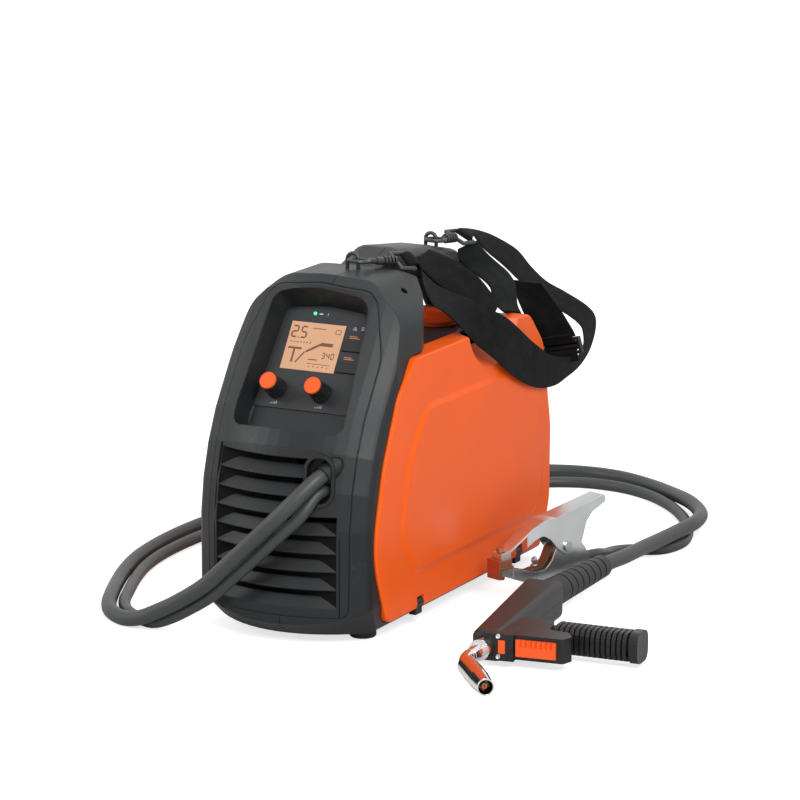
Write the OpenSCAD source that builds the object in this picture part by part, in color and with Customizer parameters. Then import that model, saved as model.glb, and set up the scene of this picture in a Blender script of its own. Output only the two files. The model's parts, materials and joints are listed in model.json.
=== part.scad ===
// Portable MIG welding machine: a case of two black mouldings and two orange side panels, with
// its wire feeder, power unit, welding gun, earth clamp and shoulder strap.
// Millimetres. X is the machine's width (right seen from its front), Y runs from front to back,
// Z is up. The origin is on the floor, in the middle of the four feet.

/* [Case] */
// Half of the case's width, without the side panels
case_half_w = 86; // [84:0.5:89]
// Distance from the middle of the case to the foremost point of its front
front_reach = 202; // [198:0.5:206]
// Distance from the middle of the case to the back of its frame
back_reach = 184; // [182:0.5:188]
// Height of the case's underside above the floor
floor_gap = 9; // [8:0.5:10]
// Height of the deck under the carrying handle
deck_z = 244; // [242:0.5:247]
// Height of the case's front top
top_z = 314; // [311:0.5:318]
// Wall thickness of the frame mouldings
wall = 3; // [2.5:0.1:3.4]
// Radius of the front's bow seen from above
bow_r = 150; // [140:1:170]
// Radius of the case's upright front corners
corner_r = 12; // [10:0.5:14]
// Lean of the upper front from the upright
front_tilt = 34; // [32:0.5:36]
// Radius of the curve that leads from the upright front to the leaning one
front_curve_r = 240; // [230:1:250]
// Sideways place of the joint between the two frame mouldings
parting_x = 10; // [6:0.5:14]
// Gap between mouldings that meet
seam = 0.4; // [0.2:0.05:0.6]

/* [Side panels] */
// How far the panels stand out from the frame's sides
panel_stand = 2.5; // [2:0.1:3.5]
// How far the raised field stands out from the panel around it
field_stand = 2; // [1:0.1:3]
// Depth of the panel's rim into the case
panel_depth = 22; // [21:0.5:23]
// Wall thickness of the panels
panel_wall = 2.6; // [2:0.1:3.2]
// Gap all round a panel
panel_gap = 1; // [0.9:0.05:1.3]
// Radius of the round finger scoops beside the handle
scoop_r = 60; // [56:1:62]
// Radius of the door's hinge pins
hinge_pin_r = 2; // [1.8:0.1:2.2]
// Radial clearance of the door's knuckles on the pins
hinge_clear = 0.05; // [0.03:0.01:0.08]

/* [Front bezel] */
// Half of the bezel's width
bezel_half_w = 70.5; // [69:0.5:72]
// Number of louvre slots
louvre_count = 8; // [6:1:8]
// Distance from one louvre to the next
louvre_pitch = 16.4; // [15.8:0.1:16.6]
// Height of each open slot
slot_gap = 6.5; // [5:0.1:8]
// Half of the louvres' width
louvre_half_w = 60; // [56:0.5:61]
// Thickness of a louvre blade
blade_t = 2.2; // [1.8:0.1:2.6]

/* [Control panel] */
// Lean of the control panel from the upright
panel_tilt = 33; // [31:0.5:35]
// Width of the display
display_w = 54; // [50:0.5:56]
// Height of the display along the panel
display_h = 45.5; // [42:0.5:47]
// Distance between the two control knobs
knob_pitch = 44.8; // [43:0.1:46]
// Radius of a knob at its cap
knob_r = 8; // [7:0.1:8.6]
// Height of a knob above the panel, without its cap
knob_h = 20; // [17:0.5:22]
// Thickness of a knob's coloured cap
cap_t = 2.4; // [1.8:0.1:3]
// Width of a push button
button_w = 20.5; // [18:0.5:22]
// Height of a push button
button_h = 9.5; // [8:0.1:10]
// Radius of a control knob's shaft
shaft_r = 3; // [2.5:0.1:3.2]

/* [Feet and mounts] */
// Distance between the feet across the machine
foot_pitch_x = 116; // [112:1:120]
// Distance between the feet along the machine
foot_pitch_y = 272; // [262:1:280]
// Radius of a rubber foot
foot_r = 12; // [11:0.5:13]
// Radius of the bolt hole through each foot
foot_hole_r = 2.75; // [2.5:0.05:3.25]

/* [Wire feed] */
// Radius of the wire spool's flanges
spool_r = 96; // [92:0.5:97]
// Width of the wire spool
spool_w = 54; // [50:0.5:55]
// Radius of the wound wire
winding_r = 86; // [80:0.5:90]
// Radius of the spool hub
hub_r = 25; // [24:0.5:26]
// Radius of the drive roll and the pressure roll
roll_r = 14; // [13:0.5:15]
// Diameter of the filler wire
wire_d = 1.2; // [0.8:0.1:1.2]
// Radial clearance of rolls, spool and fan on their shafts
running_clear = 0.05; // [0.03:0.01:0.08]

/* [Cables] */
// Diameter of the gun's cable
gun_cable_d = 14; // [12:0.5:14]
// Diameter of the earth cable
earth_cable_d = 11; // [9:0.5:11]

/* [Gun] */
// Thickness of the gun's handle, as it lies
gun_t = 35; // [33:0.5:37]
// Radius of the nozzle at its root
nozzle_r = 9; // [8.4:0.1:9.6]
// Radius of the nozzle's mouth
nozzle_mouth_r = 7; // [6.6:0.1:7.4]
// Radius of the gun's neck
neck_r = 6.5; // [6:0.1:7]
// Bend of the neck
neck_bend = 36; // [33:1:39]
// Number of ribs on the grip
grip_ribs = 14; // [10:1:15]

/* [Earth clamp] */
// Width of the clamp's upper arm
clamp_w = 20; // [19:0.5:22]
// Thickness of the clamp's sheet steel
clamp_t = 1.6; // [1.4:0.1:1.8]
// Radius of the clamp's pivot pin
pivot_r = 3; // [2.6:0.1:3.2]

/* [Strap] */
// Thickness of the webbing
strap_t = 2.4; // [2:0.1:2.8]
// Thickness of the steel wire of the hooks and eyes
eye_wire_d = 3.5; // [3:0.1:4]

/* [Hidden] */

far = 800;
arc_z = 90;
eps = 0.02;

black = [0.24, 0.25, 0.26];
soft_black = [0.16, 0.16, 0.17];
orange = [0.95, 0.36, 0.13];
zinc = [0.74, 0.80, 0.80];
steel = [0.62, 0.64, 0.66];
copper = [0.72, 0.38, 0.22];
aluminium = [0.78, 0.79, 0.80];

// ---------- Outlines ----------

function unit(v) = v / norm(v);
function turn(a, b) = a[0] * b[1] - a[1] * b[0];

// The arc that rounds corner b between its neighbours a and c
function corner_arc(a, b, c, r, steps) =
    let (
        p = [b[0], b[1]],
        u = unit([a[0], a[1]] - p),
        w = unit([c[0], c[1]] - p),
        half = acos(u * w) / 2,
        reach = min(r / tan(half), 0.48 * norm([a[0], a[1]] - p), 0.48 * norm([c[0], c[1]] - p)),
        centre = p + unit(u + w) * reach / cos(half),
        s = p + u * reach - centre,
        e = p + w * reach - centre,
        sweep = 180 - 2 * half
    )
    [for (i = [0:steps])
        centre + (sin(sweep * (1 - i / steps)) * s + sin(sweep * i / steps) * e) / sin(sweep)];

// Points of an outline whose corners are [x, y, radius]
function rounded(corners, steps = 5) =
    let (n = len(corners))
    [for (i = [0:n - 1])
        each corner_arc(corners[(i + n - 1) % n], corners[i], corners[(i + 1) % n], corners[i][2], steps)];

// Corners moved inward by d, for an outline that runs anticlockwise
function inset(corners, d) =
    let (n = len(corners))
    [for (i = [0:n - 1])
        let (
            a = corners[(i + n - 1) % n],
            b = corners[i],
            c = corners[(i + 1) % n],
            u = unit([b[0] - a[0], b[1] - a[1]]),
            w = unit([c[0] - b[0], c[1] - b[1]]),
            n1 = [-u[1], u[0]],
            n2 = [-w[1], w[0]],
            p = [b[0], b[1]] + (n1 + n2) * d / (1 + n1 * n2),
            side = turn(u, w) >= 0 ? 1 : -1
        )
        [p[0], p[1], max(b[2] - side * d, 0.4)]];

// An outline in Y and Z, drawn from x0 to x1
module side_slab(corners, x0, x1, steps = 5) {
    translate([x0, 0, 0]) rotate([90, 0, 90]) linear_extrude(x1 - x0) polygon(rounded(corners, steps));
}

// An outline in X and Z, drawn from y0 to y1
module front_slab(corners, y0, y1, steps = 5) {
    translate([0, y1, 0]) rotate([90, 0, 0]) linear_extrude(y1 - y0) polygon(rounded(corners, steps));
}

// An outline in X and Y, drawn from z0 to z1
module flat_slab(corners, z0, z1, steps = 5) {
    translate([0, 0, z0]) linear_extrude(z1 - z0) polygon(rounded(corners, steps));
}

module box(low, high) {
    translate(low) cube(high - low);
}

// Turns the z axis to point from a to b, with its zero at a
module aim(a, b) {
    d = b - a;
    translate(a) rotate([0, acos(d[2] / norm(d)), atan2(d[1], d[0])]) children();
}

// A cylinder from point a to point b
module rod(a, b, r) {
    aim(a, b) cylinder(h = norm(b - a), r = r, $fn = 48);
}

module tube(a, b, r, bore) {
    d = unit(b - a);
    difference() {
        rod(a, b, r);
        rod(a - d, b + d, bore);
    }
}

module mirrored() {
    children();
    mirror([1, 0, 0]) children();
}

// ---------- Case envelope ----------

// Plan of the case seen from above: the bowed front with round corners, drawn in by off
bow_end = asin((case_half_w - corner_r) / (bow_r - corner_r));
corner_cy = bow_r - sqrt(pow(bow_r - corner_r, 2) - pow(case_half_w - corner_r, 2));
function plan_right(off) = concat(
    [for (i = [0:8]) let (t = bow_end * i / 8) [(bow_r - off) * sin(t), bow_r - (bow_r - off) * cos(t)]],
    [for (i = [1:4]) let (t = bow_end + (90 - bow_end) * i / 4)
        [case_half_w - corner_r + (corner_r - off) * sin(t), corner_cy - (corner_r - off) * cos(t)]],
    [[case_half_w - off, far]]
);
function plan_left(off) =
    let (right = plan_right(off), n = len(right))
    [for (i = [n - 1:-1:1]) [-right[i][0], right[i][1]]];

// Where the front is tangent to a plane that leans back by tilt
function tangent_y(tilt) = -front_reach + front_curve_r * (1 - cos(tilt));
function tangent_z(tilt) = arc_z + front_curve_r * sin(tilt);

module front_prism(y, z, tilt, off) {
    translate([0, y, z]) rotate([-tilt, 0, 0]) translate([0, 0, -far / 2])
        linear_extrude(far) polygon(concat(plan_left(off), plan_right(off)));
}

lean_steps = [for (i = [1:4]) front_tilt * i / 4];
nose_tilt = 58;
nose_drop = 8;
nose_z = top_z - nose_drop;
nose_y = tangent_y(front_tilt) + (nose_z - tangent_z(front_tilt)) * tan(front_tilt);
lip_tilt = -52;
lip_z = 20;

deck_front_y = -22;
side_corners = [
    [-front_reach - 60, floor_gap, 0.5],
    [back_reach, floor_gap, 14],
    [back_reach + 2, 130, 60],
    [back_reach - 16, 214, 30],
    [back_reach - 42, deck_z, 20],
    [deck_front_y, deck_z, 16],
    [deck_front_y + 8, top_z - 12, 16],
    [deck_front_y - 16, top_z - 1, 10],
    [deck_front_y - 70, top_z, 30],
    [-front_reach - 60, top_z, 0.5]
];
cross_half = [
    [case_half_w - 6, floor_gap, 10],
    [case_half_w, 34, 40],
    [case_half_w, 226, 50],
    [case_half_w - 10, 282, 34],
    [case_half_w - 42, top_z - 3, 34]
];
cross_corners = concat(
    cross_half,
    [[0, top_z + 0.5, 60]],
    [for (i = [len(cross_half) - 1:-1:0]) [-cross_half[i][0], cross_half[i][1], cross_half[i][2]]]
);

shoulder_cut = [[28, -2, 4], [50, -19, 20], [64, -34, 30], [74, -50, 30], [82, -70, 30], [100, -112, 1],
    [100, 60, 1], [28, 60, 1]];
rear_plan = [[-case_half_w, -far, 1], [case_half_w, -far, 1], [case_half_w, back_reach + 2, 22],
    [-case_half_w, back_reach + 2, 22]];

// The outer shape of the case, drawn in by off all round
module case_body(off = 0) {
    difference() {
        case_bulk(off);
        mirrored() flat_slab(inset(shoulder_cut, -off), deck_z - off, far);
    }
}

module case_bulk(off) {
    intersection() {
        flat_slab(inset(rear_plan, off), -1, far);
        side_slab(inset(side_corners, off), -case_half_w - 10, case_half_w + 10);
        front_slab(inset(cross_corners, off), -front_reach - 20, back_reach + 20);
        front_prism(-front_reach + 1, lip_z, lip_tilt, off);
        front_prism(-front_reach, 60, 0, off);
        intersection_for(tilt = lean_steps) front_prism(tangent_y(tilt), tangent_z(tilt), tilt, off);
        front_prism(nose_y, nose_z, nose_tilt, off);
    }
}

// ---------- Side panels ----------

panel_out = case_half_w + panel_stand;
panel_in = panel_out - panel_depth;
panel_low = 17;
panel_corners = [
    [-146, panel_low, 12],
    [168, panel_low, 20],
    [back_reach, 60, 60],
    [back_reach + 1, 132, 80],
    [back_reach - 16, 214, 34],
    [back_reach - 46, deck_z + 2, 22],
    [-92, deck_z + 2, 14],
    [-124, 218, 40],
    [-152, 158, 120],
    [-front_reach + 30, 84, 90]
];
field_corners = [
    [-96, 50, 22],
    [158, 50, 24],
    [168, 90, 40],
    [166, 150, 40],
    [146, 201, 22],
    [-76, 201, 24],
    [-110, 156, 80],
    [-126, 88, 60]
];
scoop_x = case_half_w + 29;
scoop_y = 62;
scoop_z = deck_z + 20;

module scoop(grow = 0) {
    translate([scoop_x, scoop_y, scoop_z]) sphere(r = scoop_r + grow, $fn = 96);
}

hinge_x = panel_out - 4;
hinge_z = panel_low + 4.5;
lug_half = 6;
lug_ys = [-84, 118];
knuckle_r = 4.4;
knuckle_len = 7;
notch_clear = 0.5;

// A hollow orange side panel with a raised field, finger scoop and two hinge notches
module side_panel() {
    field_slope = 5;
    difference() {
        union() {
            side_slab(panel_corners, panel_in, panel_out - 1.5);
            hull() {
                side_slab(panel_corners, panel_out - 1.6, panel_out - 1.5);
                side_slab(inset(panel_corners, 1.5), panel_out - 0.1, panel_out);
            }
            hull() {
                side_slab(field_corners, panel_out - 0.1, panel_out);
                side_slab(inset(field_corners, field_slope), panel_out, panel_out + field_stand);
            }
        }
        difference() {
            side_slab(inset(panel_corners, panel_wall), panel_in - 1, panel_out - panel_wall);
            scoop(panel_wall);
        }
        scoop();
        for (y = lug_ys)
            box([hinge_x - knuckle_r - 2, y - lug_half - notch_clear, panel_low - 1],
                [panel_out + 1, y + lug_half + notch_clear, hinge_z + knuckle_r + 2]);
    }
}

module hinge_knuckles() {
    for (y = lug_ys)
        for (side = [-1, 1])
            rod([hinge_x, y + side * (lug_half + notch_clear), hinge_z],
                [hinge_x, y + side * (lug_half + notch_clear + knuckle_len), hinge_z], knuckle_r);
}

module hinge_bores(r) {
    for (y = lug_ys)
        rod([hinge_x, y - lug_half - knuckle_len - 4, hinge_z],
            [hinge_x, y + lug_half + knuckle_len + 4, hinge_z], r);
}

module right_panel() {
    color(orange) difference() {
        union() {
            side_panel();
            hinge_knuckles();
        }
        hinge_bores(hinge_pin_r + hinge_clear);
    }
}

module left_door() {
    color(orange) mirror([1, 0, 0]) difference() {
        union() {
            side_panel();
            hinge_knuckles();
        }
        hinge_bores(hinge_pin_r + hinge_clear);
    }
}

module hinge_pins() {
    color(steel) mirrored() for (y = lug_ys)
        rod([hinge_x, y - lug_half - knuckle_len + 1, hinge_z],
            [hinge_x, y + lug_half + knuckle_len - 1, hinge_z], hinge_pin_r);
}

// ---------- Front bezel outline and recess ----------

bezel_low = 29;
bezel_top = top_z - 6;
bezel_half = [
    [bezel_half_w - 1, bezel_low, 8],
    [bezel_half_w, 120, 60],
    [bezel_half_w - 1, 250, 40],
    [52, bezel_top - 6, 20]
];
bezel_corners = concat(
    bezel_half,
    [[0, bezel_top, 80]],
    [for (i = [len(bezel_half) - 1:-1:0]) [-bezel_half[i][0], bezel_half[i][1], bezel_half[i][2]]]
);

panel_y = -144;
panel_z = 199;
// Moves from the control panel's own plane, x across and y up the slope, to its place
module on_panel() {
    translate([0, panel_y, panel_z]) rotate([90 - panel_tilt, 0, 0]) children();
}

wide_mouth_corners = [[66, -29, 15], [57, 110, 17], [0, 112, 60], [-57, 110, 17], [-66, -29, 15]];
floor_corners = [[49, -20, 8], [41, 97, 9], [0, 101, 60], [-41, 97, 9], [-49, -20, 8]];
recess_wall = 2.4;

// A solid between two outlines with the same number of corners
module loft(lower, upper, z0, z1) {
    a = rounded(lower);
    b = rounded(upper);
    n = len(a);
    points = concat([for (p = a) [p[0], p[1], z0]], [for (p = b) [p[0], p[1], z1]]);
    skin = [for (k = [0:n - 1]) let (m = (k + 1) % n) each [[k, n + m, m], [k, n + k, n + m]]];
    ends = [[for (k = [0:n - 1]) k], [for (k = [n - 1:-1:0]) n + k]];
    polyhedron(points = points, faces = concat(skin, ends), convexity = 4);
}

module recess_void(grow = 0, deep = 0) {
    on_panel() loft(inset(floor_corners, -grow), inset(wide_mouth_corners, -grow), -deep, 40);
}

display_cx = -4.4;
display_cy = 61;
button_cx = 35;
button_ys = [65, 44.5];
knob_cx = -5.9;
knob_cy = 18.6;
light_at = [-11.5, 92.9];
light_r = 1.6;
slot_fit = 0.25;
plate_t = 1.2;

module knob_places() {
    for (side = [-1, 1]) translate([knob_cx + side * knob_pitch / 2, knob_cy, 0]) children();
}

module panel_holes(depth) {
    translate([display_cx - display_w / 2 + 2, display_cy - display_h / 2 + 2, -depth])
        cube([display_w - 4, display_h - 4, 2 * depth]);
    knob_places() translate([0, 0, -depth]) cylinder(h = 2 * depth, r = shaft_r + 0.4, $fn = 40);
    for (y = button_ys)
        translate([button_cx - button_w / 2 - slot_fit, y - button_h / 2 - slot_fit, -depth])
            cube([button_w + 2 * slot_fit, button_h + 2 * slot_fit, 2 * depth]);
    translate([light_at[0], light_at[1], -depth]) cylinder(h = 2 * depth, r = light_r + 0.1, $fn = 32);
}

// ---------- Louvres and cable outlet ----------

louvre_top = 168.5;
outlet_x = 43.5;
outlet_z = 150.8;
outlet_half_w = 13.7;
outlet_half_h = 23.2;
outlet_wall = 3;
outlet_stand = 5;
outlet_turn = asin(outlet_x / bow_r);
outlet_tilt = asin((outlet_z - arc_z) / front_curve_r);
outlet_y = tangent_y(outlet_tilt) + bow_r * (1 - cos(outlet_turn));

module at_outlet() {
    translate([outlet_x, outlet_y, outlet_z]) rotate([0, 0, outlet_turn]) rotate([90 - outlet_tilt / 2, 0, 0])
        children();
}

module outlet_oval(half_w, half_h, z0, z1) {
    translate([0, 0, z0]) linear_extrude(z1 - z0) union() {
        for (side = [-1, 1]) translate([0, side * (half_h - half_w)]) circle(r = half_w, $fn = 64);
        square([2 * half_w, 2 * (half_h - half_w)], center = true);
    }
}

// Place of the front's surface on its centre line at height z, and of the bow's centre there
function front_y(z) = z < arc_z ? -front_reach :
    -front_reach + front_curve_r - sqrt(pow(front_curve_r, 2) - pow(z - arc_z, 2));
function slot_top(i) = louvre_top - i * louvre_pitch;
function slot_end(i) = i < short_slots ? short_slot_x : louvre_half_w;

short_slots = 3;
short_slot_x = 31;
blade_setback = 7;
module louvre_windows() {
    for (i = [0:louvre_count - 1])
        box([-louvre_half_w, -front_reach - 30, slot_top(i + 1)],
            [slot_end(i), -front_reach + 62, slot_top(i)]);
}

// Blades like shingles: the top edge is set back, the bottom edge is flush with the front
module louvre_blades() {
    for (i = [0:louvre_count - 1]) {
        low = slot_top(i + 1);
        high = slot_top(i) - slot_gap;
        lean = front_y(high) - front_y(low);
        end_turn = asin((slot_end(i) + 1) / bow_r);
        start_turn = asin((louvre_half_w + 1) / bow_r);
        translate([0, front_y(low) + bow_r, 0]) rotate([0, 0, -90 - start_turn])
            rotate_extrude(angle = start_turn + end_turn, $fn = 180) polygon([
                [bow_r - 0.3, low],
                [bow_r - lean - blade_setback, high],
                [bow_r - lean - blade_setback - blade_t, high],
                [bow_r - blade_t - 1, low]
            ]);
    }
}

rim_back_y = -84;
module front_bezel() {
    color(black) difference() {
        union() {
            difference() {
                intersection() {
                    case_body(0);
                    front_slab(bezel_corners, -front_reach - 20, -60);
                }
                case_body(wall);
                louvre_windows();
            }
            difference() {
                union() {
                    intersection() {
                        case_body(1);
                        front_slab(inset(bezel_corners, 0.8), -front_reach - 20, rim_back_y);
                    }
                    intersection() {
                        case_body(wall);
                        front_slab(inset(bezel_corners, -5), -front_reach - 20, rim_back_y);
                    }
                }
                case_body(wall + 2.5);
                front_slab(inset(bezel_corners, 3.2), -front_reach - 20, -60);
            }
            louvre_blades();
            intersection() {
                case_body(0.5);
                recess_void(recess_wall, recess_wall);
            }
            at_outlet() outlet_oval(outlet_half_w, outlet_half_h, -12, outlet_stand);
        }
        recess_void(0, 0);
        on_panel() panel_holes(6);
        at_outlet() outlet_oval(outlet_half_w - outlet_wall, outlet_half_h - outlet_wall, -30, 30);
        at_outlet() outlet_oval(outlet_half_w + 2.1, outlet_half_h + 2.1, -30, -12);
        rod(gun_start - gun_heading * 20, gun_start + gun_heading * 5, gun_collar_r + 0.1);
        rod(earth_start - earth_heading * 14, earth_start + earth_heading, earth_collar_r + 0.1);
        rod(gun_start, gun_start + gun_heading * 16, gun_cable_d / 2 + 0.5);
        rod(earth_start, earth_start + earth_heading * 14, earth_cable_d / 2 + 0.5);
        rod(gun_route[1], gun_route[2], gun_cable_d / 2 + 0.7);
        rod(earth_route[1], earth_route[2], earth_cable_d / 2 + 0.7);
    }
}

module control_panel() {
    face_corners = [[47.5, 1, 2], [41, 94, 7], [0, 98.5, 60], [-41, 94, 7], [-47.5, 1, 2]];
    color([0.37, 0.38, 0.39]) on_panel() difference() {
        linear_extrude(plate_t) polygon(rounded(face_corners));
        panel_holes(6);
    }
}

module display_window() {
    color([0.88, 0.65, 0.45]) on_panel() {
        translate([display_cx - display_w / 2, display_cy - display_h / 2, plate_t])
            cube([display_w, display_h, 0.8]);
        translate([display_cx - display_w / 2 + 2.3, display_cy - display_h / 2 + 2.3, -3])
            cube([display_w - 4.6, display_h - 4.6, plate_t + 3.4]);
    }
}

module power_light() {
    color([0.2, 0.9, 0.3]) on_panel() translate([light_at[0], light_at[1], -9]) {
        cylinder(h = 9 + plate_t, r = light_r, $fn = 32);
        translate([0, 0, 9 + plate_t]) sphere(r = light_r, $fn = 32);
    }
}

board_top = -9;
// A knob with its shaft, whose axis is the local z axis
module knob() {
    translate([0, 0, 2.2]) difference() {
        cylinder(h = knob_h - 2.2, r1 = knob_r + 1.5, r2 = knob_r, $fn = 64);
        for (a = [0:20:340]) rotate([0, 0, a]) translate([knob_r + 1.4, 0, 3])
            cylinder(h = knob_h, r = 0.8, $fn = 16);
    }
    translate([0, 0, board_top + 1]) cylinder(h = 4 - board_top, r = shaft_r, $fn = 48);
}

module knob_cap() {
    translate([0, 0, knob_h]) cylinder(h = cap_t - 0.6, r = knob_r - 0.2, $fn = 64);
    translate([0, 0, knob_h + cap_t - 0.6]) cylinder(h = 0.6, r1 = knob_r - 0.2, r2 = knob_r - 0.8, $fn = 64);
}

module left_knob() {
    color(soft_black) on_panel() translate([knob_cx - knob_pitch / 2, knob_cy, 0]) knob();
}

module right_knob() {
    color(soft_black) on_panel() translate([knob_cx + knob_pitch / 2, knob_cy, 0]) knob();
}

module left_knob_cap() {
    color(orange) on_panel() translate([knob_cx - knob_pitch / 2, knob_cy, 0]) knob_cap();
}

module right_knob_cap() {
    color(orange) on_panel() translate([knob_cx + knob_pitch / 2, knob_cy, 0]) knob_cap();
}

button_stand = 2.9;
module button(y) {
    translate([button_cx - button_w / 2, y - button_h / 2, -3]) cube([button_w, button_h, 3 + button_stand]);
    translate([button_cx, y, -6]) cylinder(h = 4, r = 2, $fn = 32);
}

module upper_button() {
    color([0.2, 0.14, 0.12]) on_panel() button(button_ys[0]);
}

module lower_button() {
    color([0.2, 0.14, 0.12]) on_panel() button(button_ys[1]);
}

// Printed board behind the control panel, with the encoders and the two button switches
module control_board() {
    color([0.1, 0.4, 0.25]) on_panel() difference() {
        union() {
            translate([-40, 4, board_top - 1.6]) cube([80, 92, 1.6]);
            knob_places() translate([-6, -6, board_top - 0.1]) cube([12, 12, 5.1]);
            for (y = button_ys)
                translate([button_cx - 3, y - 3, board_top - 0.1]) cube([6, 6, 2.1]);
            translate([light_at[0], light_at[1], board_top - 0.1]) cylinder(h = 0.1, r = 2.5, $fn = 32);
            translate([display_cx - 24, display_cy - 18, board_top - 0.1]) cube([48, 36, 6.1]);
        }
        knob_places() translate([0, 0, board_top + 0.4])
            cylinder(h = 20, r = shaft_r + running_clear, $fn = 48);
        for (y = button_ys)
            translate([button_cx, y, board_top + 1]) cylinder(h = 9, r = 2.3, $fn = 32);
    }
}

// ---------- Frame mouldings ----------

grip_sections = [[-42, 294, 15], [2, 308, 16], [70, 299, 16], [118, 288, 16], [152, 246, 14]];
grip_half_w = 27;

module grip_section(at) {
    for (side = [-1, 1])
        translate([side * (grip_half_w - at[2]), at[0], at[1]]) sphere(r = at[2], $fn = 32);
}

module carrying_handle() {
    for (i = [0:len(grip_sections) - 2]) hull() {
        grip_section(grip_sections[i]);
        grip_section(grip_sections[i + 1]);
    }
}

foot_places = [for (sx = [-1, 1]) for (sy = [-1, 1]) [sx * foot_pitch_x / 2, sy * foot_pitch_y / 2]];
module foot_holes(r, z0, z1) {
    for (at = foot_places) translate([at[0], at[1], z0]) cylinder(h = z1 - z0, r = r, $fn = 48);
}

rear_inset = 14;
rear_corners = inset([
    [case_half_w, floor_gap, 10],
    [case_half_w, deck_z, 24],
    [-case_half_w, deck_z, 24],
    [-case_half_w, floor_gap, 10]
], rear_inset);
screw_at = [60, -59, 301];
screw_tip = [48, -50, 282];
screw_axis = unit(screw_at - screw_tip);
boss_r = 5;

module hinge_lugs() {
    mirrored() for (y = lug_ys) {
        rod([hinge_x, y - lug_half, hinge_z], [hinge_x, y + lug_half, hinge_z], knuckle_r);
        box([hinge_x - knuckle_r, y - lug_half, floor_gap + 2],
            [hinge_x + knuckle_r - 2, y + lug_half, hinge_z]);
    }
}

module frame_mouldings() {
    difference() {
        union() {
            difference() {
                case_body(0);
                case_body(wall);
                mirrored() side_slab(inset(panel_corners, -panel_gap), panel_in - panel_gap, far);
                mirrored() scoop(0);
            }
            difference() {
                carrying_handle();
                case_body(wall);
            }
            hinge_lugs();
            mirrored() intersection() {
                case_body(1);
                rod(screw_at + (screw_at - screw_tip) * 0.3, screw_tip, boss_r);
            }
        }
        front_slab(inset(bezel_corners, -seam), -front_reach - 20, -60);
        front_slab(rear_corners, back_reach - 12, back_reach + 20);
        foot_holes(foot_hole_r, 0, 20);
        mirrored() hinge_bores(hinge_pin_r);
        mirrored() rod(screw_tip + 7 * screw_axis, screw_at + (screw_at - screw_tip), 3.4);
        mirrored() rod(screw_tip - 2 * screw_axis, screw_at, 1.7);
        eye_sockets();
        translate([latch_at[0], latch_at[1], deck_z - 20])
            cylinder(h = 30, r = latch_shaft_r + running_clear, $fn = 48);
    }
}

module left_frame() {
    color(black) intersection() {
        frame_mouldings();
        box([-far, -far, 0], [parting_x - seam / 2, far, far]);
    }
}

module right_frame() {
    color(black) intersection() {
        frame_mouldings();
        box([parting_x + seam / 2, -far, 0], [far, far, far]);
    }
}

module case_screws() {
    color(steel) mirrored() {
        rod(screw_tip + screw_axis, screw_tip + 7.1 * screw_axis, 1.6);
        rod(screw_tip + 7.05 * screw_axis, screw_tip + 10 * screw_axis, 3.1);
    }
}

// ---------- Chassis ----------

tray_z = floor_gap + wall + 0.3;
tray_t = 1.5;
module feet() {
    color(soft_black) for (at = foot_places) translate([at[0], at[1], 0]) difference() {
        union() {
            cylinder(h = 1, r1 = foot_r - 1, r2 = foot_r, $fn = 64);
            translate([0, 0, 1]) cylinder(h = floor_gap - 1, r = foot_r, $fn = 64);
        }
        translate([0, 0, -1]) cylinder(h = floor_gap + 2, r = foot_hole_r, $fn = 48);
    }
}

divider_x = -4;
divider_t = 1.5;
divider_top = 236;
chassis_front = -120;
chassis_back = back_reach - 17;
tray_half_w = case_half_w - 12;
hub_y = 66;
hub_z = 128;
feeder_y = -66;
wire_z = 146;
spool_x0 = -panel_in + 3;
wire_x = spool_x0 + spool_w / 2;
roll_axis_z = wire_z - roll_r - wire_d / 2;

// Sheet-metal chassis: the bottom plate and the upright that parts the wire side from the power side
module chassis() {
    top = tray_z + tray_t;
    color(zinc) difference() {
        union() {
            box([-tray_half_w, -150, tray_z], [tray_half_w, chassis_back, top]);
            side_slab([
                [chassis_front, top, 0], [chassis_back, top, 0], [chassis_back, 192, 0],
                [132, divider_top, 0],
                [-88, divider_top, 0], [chassis_front, 176, 0]
            ], divider_x - divider_t, divider_x);
            box([divider_x - divider_t, chassis_front, top], [divider_x + 14, 130, top + divider_t]);
        }
        foot_holes(foot_hole_r + 0.4, 0, 40);
        rod([divider_x - 10, feeder_y, roll_axis_z], [divider_x + 10, feeder_y, roll_axis_z], 16);
    }
}

module rear_panel() {
    y0 = back_reach - 14;
    color(soft_black) difference() {
        union() {
            front_slab(rear_corners, y0 + 10, y0 + 13);
            difference() {
                front_slab(rear_corners, y0 + 2, y0 + 10);
                front_slab(inset(rear_corners, 3), y0 - 1, y0 + 11);
            }
            box([switch_x - switch_half_w - 3, y0 + 2, switch_z - switch_half_h - 3],
                [switch_x + switch_half_w + 3, y0 + 11, switch_z + switch_half_h + 3]);
        }
        for (i = [0:6])
            box([fan_x - 31, y0 - 2, fan_z - 33 + i * 10], [fan_x + 31, y0 + 20, fan_z - 28 + i * 10]);
        box([switch_x - switch_half_w - slot_fit, y0, switch_z - switch_half_h - slot_fit],
            [switch_x + switch_half_w + slot_fit, y0 + 20, switch_z + switch_half_h + slot_fit]);
        rod([switch_x - switch_half_w - 2.6, rocker_y, switch_z],
            [switch_x + switch_half_w + 2.6, rocker_y, switch_z],
            rocker_pin_r + running_clear);
        mirrored() box([panel_in - 0.5, y0, 0], [far, y0 + 20, 196]);
        rod([gland_x, y0, gland_z], [gland_x, y0 + 20, gland_z], gland_r);
        rod([nipple_x, y0, nipple_z], [nipple_x, y0 + 20, nipple_z], 5);
    }
}

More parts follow.
